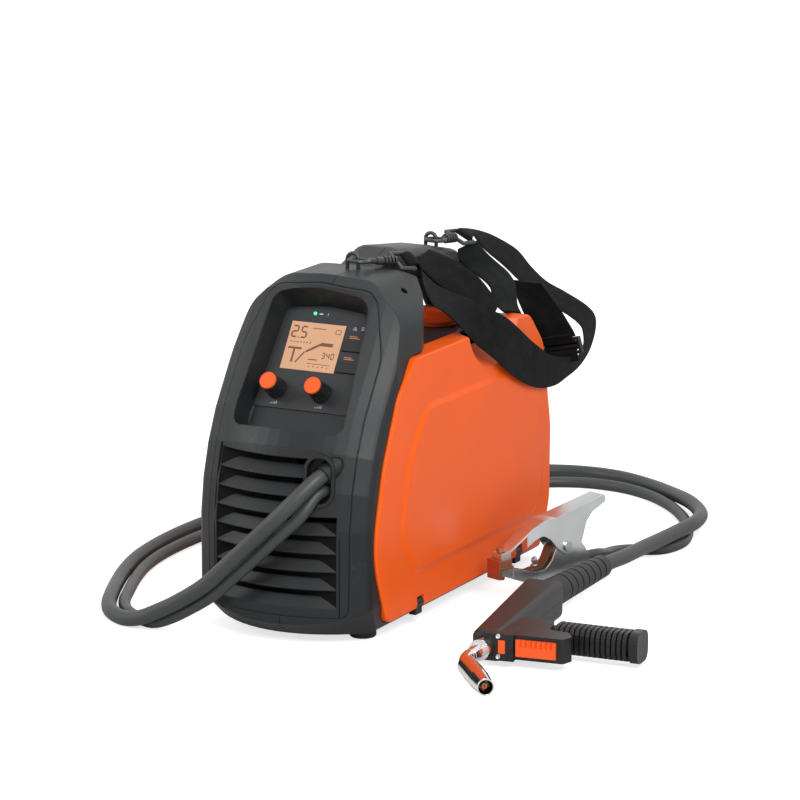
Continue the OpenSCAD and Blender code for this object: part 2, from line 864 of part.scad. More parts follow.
fan_x = 33;
fan_z = 92;
fan_half = 33.2;
fan_y0 = back_reach - 42;
fan_t = 25;
fan_shaft_r = 4;
module fan_housing() {
    color(soft_black) {
        union() {
            difference() {
                box([fan_x - fan_half, fan_y0, fan_z - fan_half],
                    [fan_x + fan_half, fan_y0 + fan_t, fan_z + fan_half]);
                rod([fan_x, fan_y0 - 1, fan_z], [fan_x, fan_y0 + fan_t + 1, fan_z], fan_half - 2);
            }
            rod([fan_x, fan_y0 + fan_t - 3.4, fan_z], [fan_x, fan_y0 + fan_t - 0.2, fan_z], 14);
            for (a = [0:90:270]) translate([fan_x, fan_y0 + fan_t - 3, fan_z]) rotate([0, a + 20, 0])
                box([10, 0, -2], [fan_half - 0.6, 2.4, 2]);
            for (side = [-1, 1])
                box([fan_x + side * (fan_half - 8) - 4, fan_y0 + 2, tray_z + tray_t],
                    [fan_x + side * (fan_half - 8) + 4, fan_y0 + fan_t - 2, fan_z - fan_half + 1]);
            rod([fan_x, fan_y0 + 6, fan_z], [fan_x, fan_y0 + fan_t - 2, fan_z], fan_shaft_r);
        }
    }
}

module fan_rotor() {
    blade_r = fan_half - 3.5;
    color([0.3, 0.3, 0.32]) difference() {
        union() {
            rod([fan_x, fan_y0 + 3, fan_z], [fan_x, fan_y0 + fan_t - 4, fan_z], 13);
            intersection() {
                tube([fan_x, fan_y0 + 4, fan_z], [fan_x, fan_y0 + fan_t - 5, fan_z], blade_r, 8);
                for (a = [0:360 / 7:359]) translate([fan_x, fan_y0 + fan_t / 2, fan_z]) rotate([0, a, 0])
                    rotate([40, 0, 0]) box([9, -16, -0.8], [blade_r, 16, 0.8]);
            }
        }
        rod([fan_x, fan_y0 + 5, fan_z], [fan_x, fan_y0 + fan_t, fan_z], fan_shaft_r + running_clear);
    }
}

sink_x0 = 14;
sink_x1 = 66;
module heat_sink() {
    base_z = 52;
    color(aluminium) {
        box([sink_x0, 20, base_z], [sink_x1, 130, base_z + 6]);
        for (i = [0:9])
            box([sink_x0 + i * 5.4, 20, base_z + 6 - eps], [sink_x0 + 1.6 + i * 5.4, 130, base_z + 34]);
        for (y = [28, 120])
            box([sink_x0, y, tray_z + tray_t], [sink_x0 + 4, y + 8, base_z + eps]);
    }
}

// Main transformer with its core and winding, and the output choke in front of it
module transformer() {
    z0 = tray_z + tray_t;
    color([0.45, 0.30, 0.18]) {
        difference() {
            box([16, -50, z0], [66, 10, z0 + 62]);
            box([24, -51, z0 + 12], [58, 11, z0 + 50]);
        }
        rod([41, -46, z0 + 31], [41, 6, z0 + 31], 18.9);
        difference() {
            rod([20, -86, z0 + 26], [48, -86, z0 + 26], 26);
            rod([19, -86, z0 + 26], [49, -86, z0 + 26], 10);
        }
    }
}

switch_x = -40;
switch_z = 190;
switch_half_w = 11;
switch_half_h = 15;
rocker_pin_r = 2;
rocker_y = back_reach - 5;
rocker_throw = 9;
// Rocker of the main switch, tilted to off; its pins turn in the rear panel
module power_switch() {
    side = [[-4, -7, 1], [4, -13, 0.5], [5.5, -13, 0.5], [3.5, 0, 4], [5.5, 13, 0.5], [4, 13, 0.5], [-4, 7, 1]];
    color(soft_black) translate([switch_x, rocker_y, switch_z]) rotate([rocker_throw, 0, 0]) {
        side_slab(side, -switch_half_w, switch_half_w);
        rod([-switch_half_w - 2.4, 0, 0], [switch_half_w + 2.4, 0, 0], rocker_pin_r);
    }
}

gland_x = -40;
gland_z = 60;
gland_r = 10;
gland_bore_r = 4.6;
module mains_gland() {
    y0 = back_reach - 14;
    color(soft_black) difference() {
        union() {
            rod([gland_x, y0 - 4, gland_z], [gland_x, y0 + 13.5, gland_z], gland_r - 0.1);
            rod([gland_x, y0 + 13.2, gland_z], [gland_x, y0 + 17, gland_z], 13);
            rod([gland_x, y0 + 17 - eps, gland_z], [gland_x, y0 + 26, gland_z], 9);
            rod([gland_x, y0 - 6, gland_z], [gland_x, y0 + 9.8, gland_z], 13);
        }
        rod([gland_x, y0 - 10, gland_z], [gland_x, y0 + 30, gland_z], gland_bore_r);
    }
}

nipple_x = -40;
nipple_z = 110;
nipple_r = 3.5;
module gas_nipple() {
    y0 = back_reach - 14;
    color([0.80, 0.65, 0.30]) difference() {
        union() {
            rod([nipple_x, y0 - 4, nipple_z], [nipple_x, y0 + 14, nipple_z], 4.9);
            box([nipple_x - 8, y0 + 2, nipple_z - 8], [nipple_x + 8, y0 + 9.9, nipple_z + 8]);
            rod([nipple_x, y0 + 13.2, nipple_z], [nipple_x, y0 + 18, nipple_z], 7.5);
            rod([nipple_x, y0 + 18 - eps, nipple_z], [nipple_x, y0 + 34, nipple_z], nipple_r);
        }
        rod([nipple_x, y0 + 2, nipple_z], [nipple_x, y0 + 40, nipple_z], 2);
    }
}

// ---------- Wire feed ----------

module wire_spool() {
    flange_t = 3;
    color([0.12, 0.12, 0.13]) difference() {
        union() {
            for (x = [spool_x0, spool_x0 + spool_w - flange_t])
                rod([x, hub_y, hub_z], [x + flange_t, hub_y, hub_z], spool_r);
            rod([spool_x0, hub_y, hub_z], [spool_x0 + spool_w, hub_y, hub_z], hub_r + 24);
        }
        rod([spool_x0 - 1, hub_y, hub_z], [spool_x0 + spool_w + 1, hub_y, hub_z], hub_r + running_clear);
        for (a = [0:60:300]) translate([0, hub_y, hub_z]) rotate([a, 0, 0]) {
            rod([spool_x0 - 1, 0, 37], [spool_x0 + spool_w + 1, 0, 37], 8);
            rod([spool_x0 - 1, 0, 72], [spool_x0 + flange_t + 1, 0, 72], 16);
        }
    }
}

module wire_winding() {
    color(copper) difference() {
        rod([spool_x0 + 3, hub_y, hub_z], [spool_x0 + spool_w - 3, hub_y, hub_z], winding_r);
        rod([spool_x0, hub_y, hub_z], [spool_x0 + spool_w, hub_y, hub_z], hub_r + 24);
    }
}

module spool_hub() {
    color([0.85, 0.85, 0.82]) {
        rod([spool_x0 - 0.5, hub_y, hub_z], [divider_x - divider_t, hub_y, hub_z], hub_r);
        rod([spool_x0 + spool_w + 0.6, hub_y, hub_z], [divider_x - divider_t, hub_y, hub_z], hub_r + 6);
        rod([spool_x0 - 6, hub_y, hub_z], [spool_x0 - 0.5, hub_y, hub_z], hub_r - 9);
        box([spool_x0 - 4, hub_y - 4, hub_z - hub_r - 4], [spool_x0 - 0.5, hub_y + 4, hub_z + hub_r + 4]);
    }
}

roll_w = 10;
arm_pivot = [feeder_y - 26, wire_z + 17];
feeder_x = divider_x - divider_t;
axle_r = 4;
// Cast bracket on the divider, with the inlet guide, the outlet block and the arm's pivot
module feeder_body() {
    guide_y0 = feeder_y + roll_r + 3;
    outlet_y0 = feeder_y - roll_r - 4;
    color(aluminium) difference() {
        union() {
            box([feeder_x - 7, feeder_y - 40, wire_z - 40], [feeder_x, feeder_y + 34, wire_z + 28]);
            box([wire_x - 7, guide_y0, wire_z - 8], [feeder_x - 6, guide_y0 + 9, wire_z + 6]);
            box([wire_x - 12, outlet_y0 - 18, wire_z - 12], [feeder_x - 6, outlet_y0, wire_z + 6]);
            rod([wire_x - 10, arm_pivot[0], arm_pivot[1]],
                [feeder_x - 6, arm_pivot[0], arm_pivot[1]], axle_r);
        }
        rod([feeder_x - 20, feeder_y, roll_axis_z], [feeder_x + 1, feeder_y, roll_axis_z], 13);
        rod([wire_x, guide_y0 - 1, wire_z], [wire_x, guide_y0 + 10, wire_z], 1.5);
        rod([wire_x, outlet_y0 - 4, wire_z], [wire_x, outlet_y0 + 1, wire_z], 1.5);
        rod([wire_x, outlet_y0 - 19, wire_z], [wire_x, outlet_y0 - 4, wire_z], 4.2);
    }
}

motor_shaft_r = 3;
module feed_motor() {
    axis_z = roll_axis_z;
    color([0.35, 0.36, 0.38]) {
        rod([wire_x - 4, feeder_y, axis_z], [feeder_x - 8, feeder_y, axis_z], motor_shaft_r);
        rod([feeder_x + 0.3, feeder_y, axis_z], [divider_x + 20, feeder_y, axis_z], 15.5);
        rod([divider_x + 0.3, feeder_y, axis_z], [divider_x + 62, feeder_y, axis_z], 21);
        rod([feeder_x - 8, feeder_y, axis_z], [feeder_x + 1, feeder_y, axis_z], 12.4);
    }
}

module drive_roll() {
    x0 = wire_x - roll_w / 2;
    x1 = wire_x + roll_w / 2;
    color(steel) difference() {
        union() {
            rod([x0, feeder_y, roll_axis_z], [x1, feeder_y, roll_axis_z], roll_r);
            rod([x0 - 3, feeder_y, roll_axis_z], [x0, feeder_y, roll_axis_z], 7);
            rod([x1, feeder_y, roll_axis_z], [feeder_x - 8.3, feeder_y, roll_axis_z], 6);
        }
        for (dx = [-2.5, 2.5]) translate([wire_x + dx, feeder_y, roll_axis_z]) rotate([0, 90, 0])
            rotate_extrude($fn = 64) translate([roll_r, 0]) rotate(45) square(0.9, center = true);
        rod([wire_x - 4.5, feeder_y, roll_axis_z], [feeder_x, feeder_y, roll_axis_z],
            motor_shaft_r + running_clear);
    }
}

arm_x0 = wire_x - 10;
arm_x1 = wire_x + 10;
module pressure_arm() {
    tip = [feeder_y + 30, wire_z + 20];
    roll_z = wire_z + roll_r + wire_d / 2;
    color([0.15, 0.15, 0.16]) difference() {
        union() {
            for (x = [arm_x0, arm_x1 - 3]) hull() {
                rod([x, arm_pivot[0], arm_pivot[1]], [x + 3, arm_pivot[0], arm_pivot[1]], 7.5);
                rod([x, feeder_y, roll_z], [x + 3, feeder_y, roll_z], 9);
                rod([x, tip[0], tip[1]], [x + 3, tip[0], tip[1]], 6);
            }
            box([arm_x0, tip[0] - 5, tip[1] - 5], [arm_x1, tip[0] + 5, tip[1] + 5]);
            rod([arm_x0 + 1, feeder_y, roll_z], [arm_x1 - 1, feeder_y, roll_z], axle_r);
        }
        rod([arm_x0 - 1, arm_pivot[0], arm_pivot[1]], [arm_x1 + 1, arm_pivot[0], arm_pivot[1]],
            axle_r + running_clear);
        rod([wire_x, tip[0], tip[1] - 3], [wire_x, tip[0], tip[1] + 9], 2 + running_clear);
    }
}

module pressure_roll() {
    roll_z = wire_z + roll_r + wire_d / 2;
    color(steel) difference() {
        rod([wire_x - roll_w / 2, feeder_y, roll_z], [wire_x + roll_w / 2, feeder_y, roll_z], roll_r);
        rod([wire_x - roll_w, feeder_y, roll_z], [wire_x + roll_w, feeder_y, roll_z], axle_r + running_clear);
    }
}

module tension_knob() {
    tip = [feeder_y + 30, wire_z + 20];
    color(orange) {
        rod([wire_x, tip[0], tip[1] - 2.6], [wire_x, tip[0], tip[1] + 12], 2);
        difference() {
            rod([wire_x, tip[0], tip[1] + 6.2], [wire_x, tip[0], tip[1] + 22], 9);
            for (a = [0:30:330]) translate([wire_x, tip[0], tip[1] + 9]) rotate([0, 0, a])
                translate([9.6, 0, 0]) cylinder(h = 20, r = 1.6, $fn = 20);
        }
    }
}

// Sheath that leads the wire from the feeder to the gun cable's gland
conduit_route = [[wire_x, -100, wire_z], [wire_x, -108, wire_z], [wire_x + 3, -118, wire_z],
    [wire_x + 14, -130, wire_z + 2], [wire_x + 34, -140, wire_z + 6], [wire_x + 56, -147, wire_z + 12],
    [wire_x + 76, -150, wire_z + 20], [50, -153, 170]];
function along(route, i) =
    let (n = len(route) - 1)
    i == 0 ? unit(route[1] - route[0]) :
    i == n ? unit(route[n] - route[n - 1]) :
    unit(unit(route[i + 1] - route[i]) + unit(route[i] - route[i - 1]));
function sideways(d) = unit(cross(d, abs(d[2]) > 0.9 ? [1, 0, 0] : [0, 0, 1]));

// A round tube whose rings stand on the route's points
module swept_tube(route, r, sides) {
    n = len(route);
    points = [for (i = [0:n - 1])
        let (d = along(route, i), u = sideways(d), v = cross(u, d))
        for (k = [0:sides - 1]) route[i] + r * (u * cos(360 * k / sides) + v * sin(360 * k / sides))];
    skin = [for (i = [0:n - 2]) for (k = [0:sides - 1])
        let (a = i * sides + k, b = i * sides + (k + 1) % sides)
        each [[a, b, b + sides], [a, b + sides, a + sides]]];
    ends = [[for (k = [sides - 1:-1:0]) k], [for (k = [0:sides - 1]) (n - 1) * sides + k]];
    polyhedron(points = points, faces = concat(skin, ends), convexity = 6);
}

module wire_conduit() {
    color([0.2, 0.3, 0.6]) {
        swept_tube(concat(conduit_route,
            [gun_start - gun_heading * 28, gun_start - gun_heading * 19.02]), 4, 10);
        rod([wire_x, -104, wire_z], [wire_x, -38, wire_z], wire_d / 2 - 0.1);
    }
}

// ---------- Cable gland and free cables ----------

gun_start = [47, -184, 157];
gun_heading = unit([-5, -12, -6]);
earth_start = [46.5, -181, 141];
earth_heading = unit([-6, -12, -4]);
gun_collar_r = gun_cable_d / 2 + 2.4;
earth_collar_r = earth_cable_d / 2 + 1;

// Block behind the outlet with a collar for each cable
module cable_gland() {
    color([0.2, 0.2, 0.21]) difference() {
        union() {
            rod(gun_start - gun_heading * 19, gun_start + gun_heading * 4, gun_collar_r);
            rod(earth_start - earth_heading * 13, earth_start, earth_collar_r);
            at_outlet() outlet_oval(outlet_half_w + 2, outlet_half_h + 2, -17, -12.3);
        }
        rod(gun_start, gun_start + gun_heading * 9, gun_cable_d / 2 + 0.5);
        rod(gun_start - gun_heading * 40, gun_start - gun_heading * 19, 4.4);
    }
}

gun_route = [
    gun_start, gun_start + gun_heading * 13, [31, -209, 137], [15, -217, 119], [-8, -217, 97],
    [-33, -217, 73], [-57, -217, 51], [-84, -216, 33], [-108, -214, 20], [-128, -212, 11],
    [-148, -206, 7], [-168, -193, 7],
    [-184, -172, 7], [-198, -145, 7], [-214, -110, 7], [-231, -68, 7], [-245, -24, 7], [-253, 20, 7],
    [-257, 65, 7], [-257, 110, 7], [-252, 160, 7], [-242, 210, 7], [-226, 260, 7], [-203, 310, 7],
    [-173, 358, 7], [-138, 402, 7], [-100, 440, 7], [-60, 470, 7], [-18, 485, 7], [26, 480, 8],
    [68, 460, 9], [106, 431, 11], [138, 399, 14], [163, 366, 16], [180, 334, 18], [187, 301, 19],
    [186, 268, 19], [184, 228, 19], [183, 190, 20], [183, 150, 21]
];
gun_end = [180, 104, 22];
earth_route = [
    earth_start, earth_start + earth_heading * 12, [33, -204, 121], [14, -209, 102], [-8, -209, 81],
    [-31, -209, 60], [-54, -209, 40], [-77, -208, 25], [-99, -206, 13], [-120, -202, 5.6], [-142, -193, 5.6],
    [-162, -177, 5.6], [-179, -153, 5.6], [-192, -125, 5.6], [-210, -83, 5.6], [-225, -40, 5.6],
    [-234, 4, 5.6], [-237, 48, 5.6], [-236, 92, 5.6], [-230, 136, 5.6], [-219, 181, 5.6],
    [-203, 225, 5.6], [-181, 270, 5.6],
    [-153, 313, 5.6], [-121, 354, 5.6], [-85, 393, 5.6], [-46, 427, 5.6], [-4, 449, 5.6], [40, 450, 5.6],
    [79, 434, 5.6], [113, 407, 5.6], [140, 376, 5.6], [161, 344, 5.6], [177, 310, 5.6], [186, 276, 5.6],
    [180, 246, 5.6], [163, 232, 6], [150, 212, 8], [150, 186, 12], [157, 163, 17]
];

module gun_cable() {
    color([0.25, 0.25, 0.24]) swept_tube(
        concat(gun_route, [gun_end - 20 * unit(boot_root - gun_end), gun_end]), gun_cable_d / 2, 10);
}

module earth_cable() {
    color([0.25, 0.25, 0.24]) swept_tube(
        concat(earth_route, [clamp_point(120, 0, 24.5), clamp_point(101, 0, 25)]), earth_cable_d / 2, 8);
}

// ---------- Gun ----------

gun_at = [153, 40, 0];
gun_turn = -81.3;
mid = gun_t / 2 + 1;
barrel_v = 14;
// The gun's own frame: x forward along the barrel, y towards the grip, z up as it lies
module in_gun() {
    translate(gun_at) rotate([0, 0, gun_turn]) children();
}

function gun_point(u, v, w) =
    gun_at + [u * cos(gun_turn) - v * sin(gun_turn), u * sin(gun_turn) + v * cos(gun_turn), w];

barrel_rear = 48;
barrel_front = 219;
module barrel_block() {
    rear_half = 18.5;
    front_half = 14;
    edge = 7;
    hull() {
        for (side = [-1, 1]) for (up = [-1, 1]) {
            translate([barrel_rear + edge, barrel_v + side * (rear_half - edge), mid + up * (gun_t / 2 - edge)])
                sphere(r = edge, $fn = 24);
            translate([barrel_front - edge, barrel_v - 1 + side * (front_half - edge),
                mid + up * (front_half - edge)])
                sphere(r = edge, $fn = 24);
        }
    }
}

grip_root = [168, 26];
grip_end = [177, 138];
trigger_v0 = 40;
trigger_v1 = 76;
trigger_u = 217;
trigger_half_t = 7.5;
trigger_lift = 1.5;

grip_core_r = 10;
grip_axis = [grip_end[0] - grip_root[0], grip_end[1] - grip_root[1]];
// Places children with z along the grip, from its root
module in_grip() {
    translate([grip_root[0], grip_root[1] + 12, mid]) rotate([0, 0, -atan2(grip_axis[0], grip_axis[1])])
        rotate([-90, 0, 0]) children();
}

module gun_shells() {
    difference() {
        union() {
            barrel_block();
            // Housing in front of the grip that carries the trigger
            translate([0, 0, mid - 9.5]) linear_extrude(22) polygon(rounded([
                [164, 20, 2], [210, 20, 2], [218, 34, 4], [219, 82, 3], [208, 87, 4], [196, 80, 6],
                [192, 62, 6], [164, 58, 2]
            ]));
            translate([184, 12, mid - 11]) cube([37, 26, 24]);
        }
        // Trigger pocket
        translate([196, trigger_v0 - slot_fit, mid + trigger_lift - trigger_half_t - slot_fit])
            cube([40, trigger_v1 - trigger_v0 + 2 * slot_fit, 2 * (trigger_half_t + slot_fit)]);
        // Seat of the neck and seat of the boot
        on_neck() rod([0, 0, 0], [40, 0, 0], neck_r + 3);
        rod([barrel_rear - 5, barrel_v, mid], [barrel_rear + 10, barrel_v, mid], boot_spigot_r + 2.4);
        // Grip socket
        in_grip() translate([0, 0, -1]) cylinder(h = 60, r = grip_core_r + 0.05, $fn = 48);
        // Rows of grooves on the rear half
        for (i = [0:13])
            translate([barrel_rear + 20 + i * 6, barrel_v - 22 + i * 0.35, -1]) cube([2.4, 5.5, gun_t + 4]);
    }
}

module gun_upper_shell() {
    color([0.22, 0.22, 0.21]) in_gun() intersection() {
        gun_shells();
        box([-50, -100, mid + 0.1], [400, 200, 60]);
    }
}

module gun_lower_shell() {
    color([0.22, 0.22, 0.21]) in_gun() intersection() {
        gun_shells();
        box([-50, -100, -5], [400, 200, mid - 0.1]);
    }
}

boot_root_r = 14;
boot_tail_r = 10.5;
boot_grooves = 7;
boot_spigot_r = 6;
boot_root = gun_point(barrel_rear - 3, barrel_v, mid);
module gun_boot() {
    length = norm(boot_root - gun_end);
    color([0.2, 0.2, 0.2]) aim(gun_end, boot_root) difference() {
        union() {
            cylinder(h = length, r1 = boot_tail_r, r2 = boot_root_r, $fn = 64);
            cylinder(h = length + 10, r = boot_spigot_r, $fn = 48);
        }
        for (i = [0:boot_grooves - 1]) translate([0, 0, 10 + i * 11.5]) difference() {
            cylinder(h = 2, r = 20, $fn = 64);
            translate([0, 0, -1]) cylinder(h = 4, r = boot_tail_r - 1.6 + i * 0.4, $fn = 64);
        }
    }
}

module gun_grip() {
    length = norm(grip_axis) - 12;
    color([0.16, 0.16, 0.17]) in_gun() in_grip() {
        cylinder(h = length, r = grip_core_r, $fn = 48);
        for (i = [0:grip_ribs - 1])
            translate([0, 0, 26 + i * (length - 37) / (grip_ribs - 1)]) linear_extrude(3.4)
                polygon(rounded([[-14, -13, 9], [14, -13, 9], [14, 13, 9], [-14, 13, 9]], 4));
        translate([0, 0, length - 5]) linear_extrude(8)
            polygon(rounded([[-14, -14, 9], [14, -14, 9], [14, 14, 9], [-14, 14, 9]], 4));
    }
}

module gun_trigger() {
    color(orange) in_gun() difference() {
        translate([202, trigger_v0, mid + trigger_lift - trigger_half_t])
            cube([trigger_u + 4 - 202, trigger_v1 - trigger_v0, 2 * trigger_half_t]);
        for (i = [0:6])
            translate([trigger_u + 4, trigger_v0 + 4 + i * 4.5, mid + trigger_lift + trigger_half_t])
            rotate([0, 0, 45])
            cube([2.6, 2.6, 12], center = true);
    }
}

neck_from = [204, 13];
neck_lean = -5;
neck_straight = 48;
neck_turn_r = 42;
// The neck's own line: x forward from inside the shells
module on_neck() {
    translate([neck_from[0], neck_from[1], mid]) rotate([0, 0, neck_lean]) children();
}

module after_bend() {
    on_neck() translate([neck_straight, neck_turn_r, 0]) rotate([0, 0, neck_bend])
        translate([0, -neck_turn_r, 0]) children();
}

module gun_neck() {
    color(zinc) in_gun() {
        on_neck() {
            rod([1, 0, 0], [neck_straight, 0, 0], neck_r);
            rod([1, 0, 0], [28, 0, 0], neck_r + 2.8);
            translate([neck_straight, neck_turn_r, 0]) rotate([0, 0, -92]) rotate_extrude(
                angle = neck_bend + 4, $fn = 96) translate([neck_turn_r, 0]) circle(r = neck_r - 0.2, $fn = 48);
        }
        after_bend() rod([0, 0, 0], [14, 0, 0], neck_r);
    }
}

nozzle_len = 68;
module gun_nozzle() {
    color([0.8, 0.8, 0.8]) in_gun() after_bend() difference() {
        union() {
            rod([2, 0, 0], [44, 0, 0], nozzle_r);
            translate([44 - eps, 0, 0]) rotate([0, 90, 0])
                cylinder(h = nozzle_len - 44, r1 = nozzle_r, r2 = nozzle_mouth_r + 0.6, $fn = 64);
        }
        rod([-1, 0, 0], [14.4, 0, 0], neck_r + 0.02);
        rod([14, 0, 0], [nozzle_len + 1, 0, 0], nozzle_mouth_r - 0.7);
    }
}

module contact_tip() {
    color(copper) in_gun() after_bend() difference() {
        union() {
            rod([14, 0, 0], [36, 0, 0], 4.5);
            rod([36 - eps, 0, 0], [nozzle_len - 4, 0, 0], 2.6);
        }
        rod([20, 0, 0], [nozzle_len, 0, 0], 0.8);
    }
}

// ---------- Earth clamp ----------

clamp_at = [121, 20, 0];
clamp_turn = 70;
// The clamp's own frame: x from the jaws to the handles, y across the arms, z up
module in_clamp() {
    translate(clamp_at) rotate([0, 0, clamp_turn]) children();
}

function clamp_point(p, q, z) =
    clamp_at + [p * cos(clamp_turn) - q * sin(clamp_turn), p * sin(clamp_turn) + q * cos(clamp_turn), z];

pivot_at = [71, 43];
upper_arm = [
    [-9, 43, 0.6], [6, 43, 3], [19, 48, 6], [30, 55, 8], [40, 58, 8], [50, 52, 6], [58, 43, 6], [64, 38, 4],
    [71, 35, 6], [80, 36, 5], [89, 42, 5], [92, 50, 6], [96, 62, 8], [104, 70, 10], [122, 77, 2], [120, 84, 2],
    [56, 72, 10], [42, 72, 8], [27, 66, 8], [10, 55, 8], [2, 50, 4], [-10, 48, 1]
];
lower_arm = [
    [-10, 30, 0.6], [-6, 27, 2], [19, 17, 12], [42, 15, 14], [66, 16, 10], [88, 12, 12], [114, 2, 2],
    [118, 7, 2], [104, 24, 10], [96, 38, 10], [84, 50, 6], [71, 52, 6], [60, 46, 5], [53, 32, 6],
    [44, 24, 8], [30, 25, 8],
    [10, 31, 6], [-8, 33, 1]
];

module arm_channel(corners, half_w, flange) {
    difference() {
        translate([0, half_w, 0]) rotate([90, 0, 0]) linear_extrude(2 * half_w) polygon(rounded(corners, 4));
        translate([0, half_w - clamp_t, flange]) rotate([90, 0, 0])
            linear_extrude(2 * (half_w - clamp_t)) polygon(rounded(corners, 4));
    }
}

inner_half_w = clamp_w / 2 - clamp_t - 0.2;
// Plan of an arm: narrow at the jaws, full width at the pivot, a little narrower at the handle
module arm_plan(half_w) {
    flat_slab([[-20, -6.5, 0.5], [2, -6.5, 10], [36, -half_w, 20], [80, -half_w, 20], [124, 1.5 - half_w, 2],
        [124, half_w - 1.5, 2], [80, half_w, 20], [36, half_w, 20], [2, 6.5, 10], [-20, 6.5, 0.5]], -5, 100);
}
jaw_rivet_r = 2.4;
module clamp_upper_arm() {
    color(zinc) in_clamp() difference() {
        union() {
            intersection() {
                arm_channel(upper_arm, clamp_w / 2, -clamp_t * 1.3);
                arm_plan(clamp_w / 2);
            }
            translate([-10, -6.5, 43]) cube([12, 13, 5.2]);
        }
        rod([pivot_at[0], -20, pivot_at[1]], [pivot_at[0], 20, pivot_at[1]], pivot_r + 0.05);
        translate([0, 0, 20]) rod([-5, 0, 0], [-5, 0, 40], jaw_rivet_r);
    }
}

module clamp_lower_arm() {
    color(zinc) in_clamp() difference() {
        union() {
            intersection() {
                arm_channel(lower_arm, inner_half_w, clamp_t * 1.3);
                arm_plan(inner_half_w);
            }
            translate([-9, -6.5, 27]) cube([12, 13, 5]);
            rod([84, 0, 28], [101 - eps, 0, 25.02], 5.8);
            box([80, -5, 14], [92, 5, 26]);
        }
        rod([pivot_at[0], -20, pivot_at[1]], [pivot_at[0], 20, pivot_at[1]], pivot_r);
        rod([-5, 0, 10], [-5, 0, 40], jaw_rivet_r);
        rod([-5, 0, 10], [-5, 0, 27], 4.2);
        rod([101, 0, 25], [130, 0, 24.2], earth_cable_d / 2 + 1.2);
    }
}

module clamp_pivot() {
    color(steel) in_clamp() {
        rod([pivot_at[0], -clamp_w / 2 - 1, pivot_at[1]],
            [pivot_at[0], clamp_w / 2 + 1, pivot_at[1]], pivot_r);
        for (side = [-1, 1])
            rod([pivot_at[0], side * (clamp_w / 2 + 0.05), pivot_at[1]],
                [pivot_at[0], side * (clamp_w / 2 + 2), pivot_at[1]], pivot_r + 1.6);
    }
}

// Copper jaw under the upper arm, with its screw
module clamp_upper_jaw() {
    color(copper) in_clamp() {
        box([-14, -8, 36.2], [2, 8, 42.8]);
        rod([-5, 0, 42], [-5, 0, 49.6], jaw_rivet_r - 0.1);
        rod([-5, 0, 49.6], [-5, 0, 52.6], 4);
    }
}

// Copper jaw on the lower arm, with its screw
module clamp_lower_jaw() {
    color(copper) in_clamp() {
        box([-14, -8, 33.2], [4, 8, 36]);
        box([-14, -8, 25], [-10.4, 8, 36]);
        rod([-5, 0, 26.9], [-5, 0, 34], jaw_rivet_r);
        rod([-5, 0, 23], [-5, 0, 26.9], 4);
    }
}

spring_wire_r = 0.8;
spring_coil_r = 4.7;
spring_pitch = 2.2;
spring_route = [for (i = [0:60])
    [spring_coil_r * cos(i * 30), spring_coil_r * sin(i * 30), (i / 12 - 2.5) * spring_pitch]];
spring_gap = min([for (i = [0:48]) for (j = [i + 6:60]) norm(spring_route[i] - spring_route[j])])
    - 2 * spring_wire_r;
echo("least gap between the clamp spring's turns", spring_gap);

// Coil spring round the pivot, inside the lower arm
module clamp_spring() {
    color(steel) in_clamp() translate([pivot_at[0], 0, pivot_at[1]]) rotate([90, 0, 0])
        swept_tube(spring_route, spring_wire_r, 8);
}

// ---------- Strap hardware ----------

wire_r = eye_wire_d / 2;
eye_x = 3;
eye_half = 5.5;
eyes = [[-51, 312, 328], [102, 304, 322]];
eye_root = 9;

module eye_sockets() {
    for (eye = eyes) for (side = [-1, 1])
        translate([eye_x + side * eye_half, eye[0], eye[1] - eye_root])
            cylinder(h = 30, r = wire_r + 0.05, $fn = 32);
}

// Two wire eyes whose legs stand in the frame
module strap_eyes() {
    color([0.25, 0.25, 0.26]) for (eye = eyes) {
        bend_z = eye[2] - eye_half - wire_r;
        for (side = [-1, 1])
            rod([eye_x + side * eye_half, eye[0], eye[1] - eye_root + 0.2],
                [eye_x + side * eye_half, eye[0], bend_z], wire_r);
        translate([eye_x, eye[0], bend_z]) rotate([90, 0, 0]) rotate_extrude(angle = 180, $fn = 48)
            translate([eye_half, 0]) circle(r = wire_r, $fn = 24);
    }
}

ring_r = 9;
// A swivel hook that lies along its own x axis: ring, shank, swivel barrel and webbing loop
module snap_hook(length, loop_half, roll) {
    rotate_extrude($fn = 48) translate([ring_r, 0]) circle(r = wire_r, $fn = 24);
    rod([ring_r, 0, 0], [length - 16, 0, 0], 2.6);
    rod([ring_r + 9, 0, 0], [length - 22, 0, 0], 3.6);
    for (i = [0:3]) rod([length - 21 + i * 3.6, 0, 0], [length - 19 + i * 3.6, 0, 0], 4.6);
    rotate([roll, 0, 0]) {
        for (x = [length - 8, length + 6]) rod([x, -loop_half, 0], [x, loop_half, 0], 2);
        for (side = [-1, 1])
            rod([length - 8, side * loop_half, 0], [length + 6, side * loop_half, 0], 2);
        for (x = [length - 8, length + 6]) for (side = [-1, 1])
            translate([x, side * loop_half, 0]) sphere(r = 2, $fn = 24);
    }
}

front_hook_at = [11, -54, 320.5];
front_hook_turn = [0, 6, 60];

rear_hook_at = [10, 98, 315];
rear_hook_turn = [0, 3, 74];
// Two swivel hooks, each with its ring through one of the eyes
module strap_hooks() {
    color(soft_black) {
        translate(front_hook_at) rotate(front_hook_turn) snap_hook(47, 12, 25);
        translate(rear_hook_at) rotate(rear_hook_turn) snap_hook(34, 12, 20);
    }
}

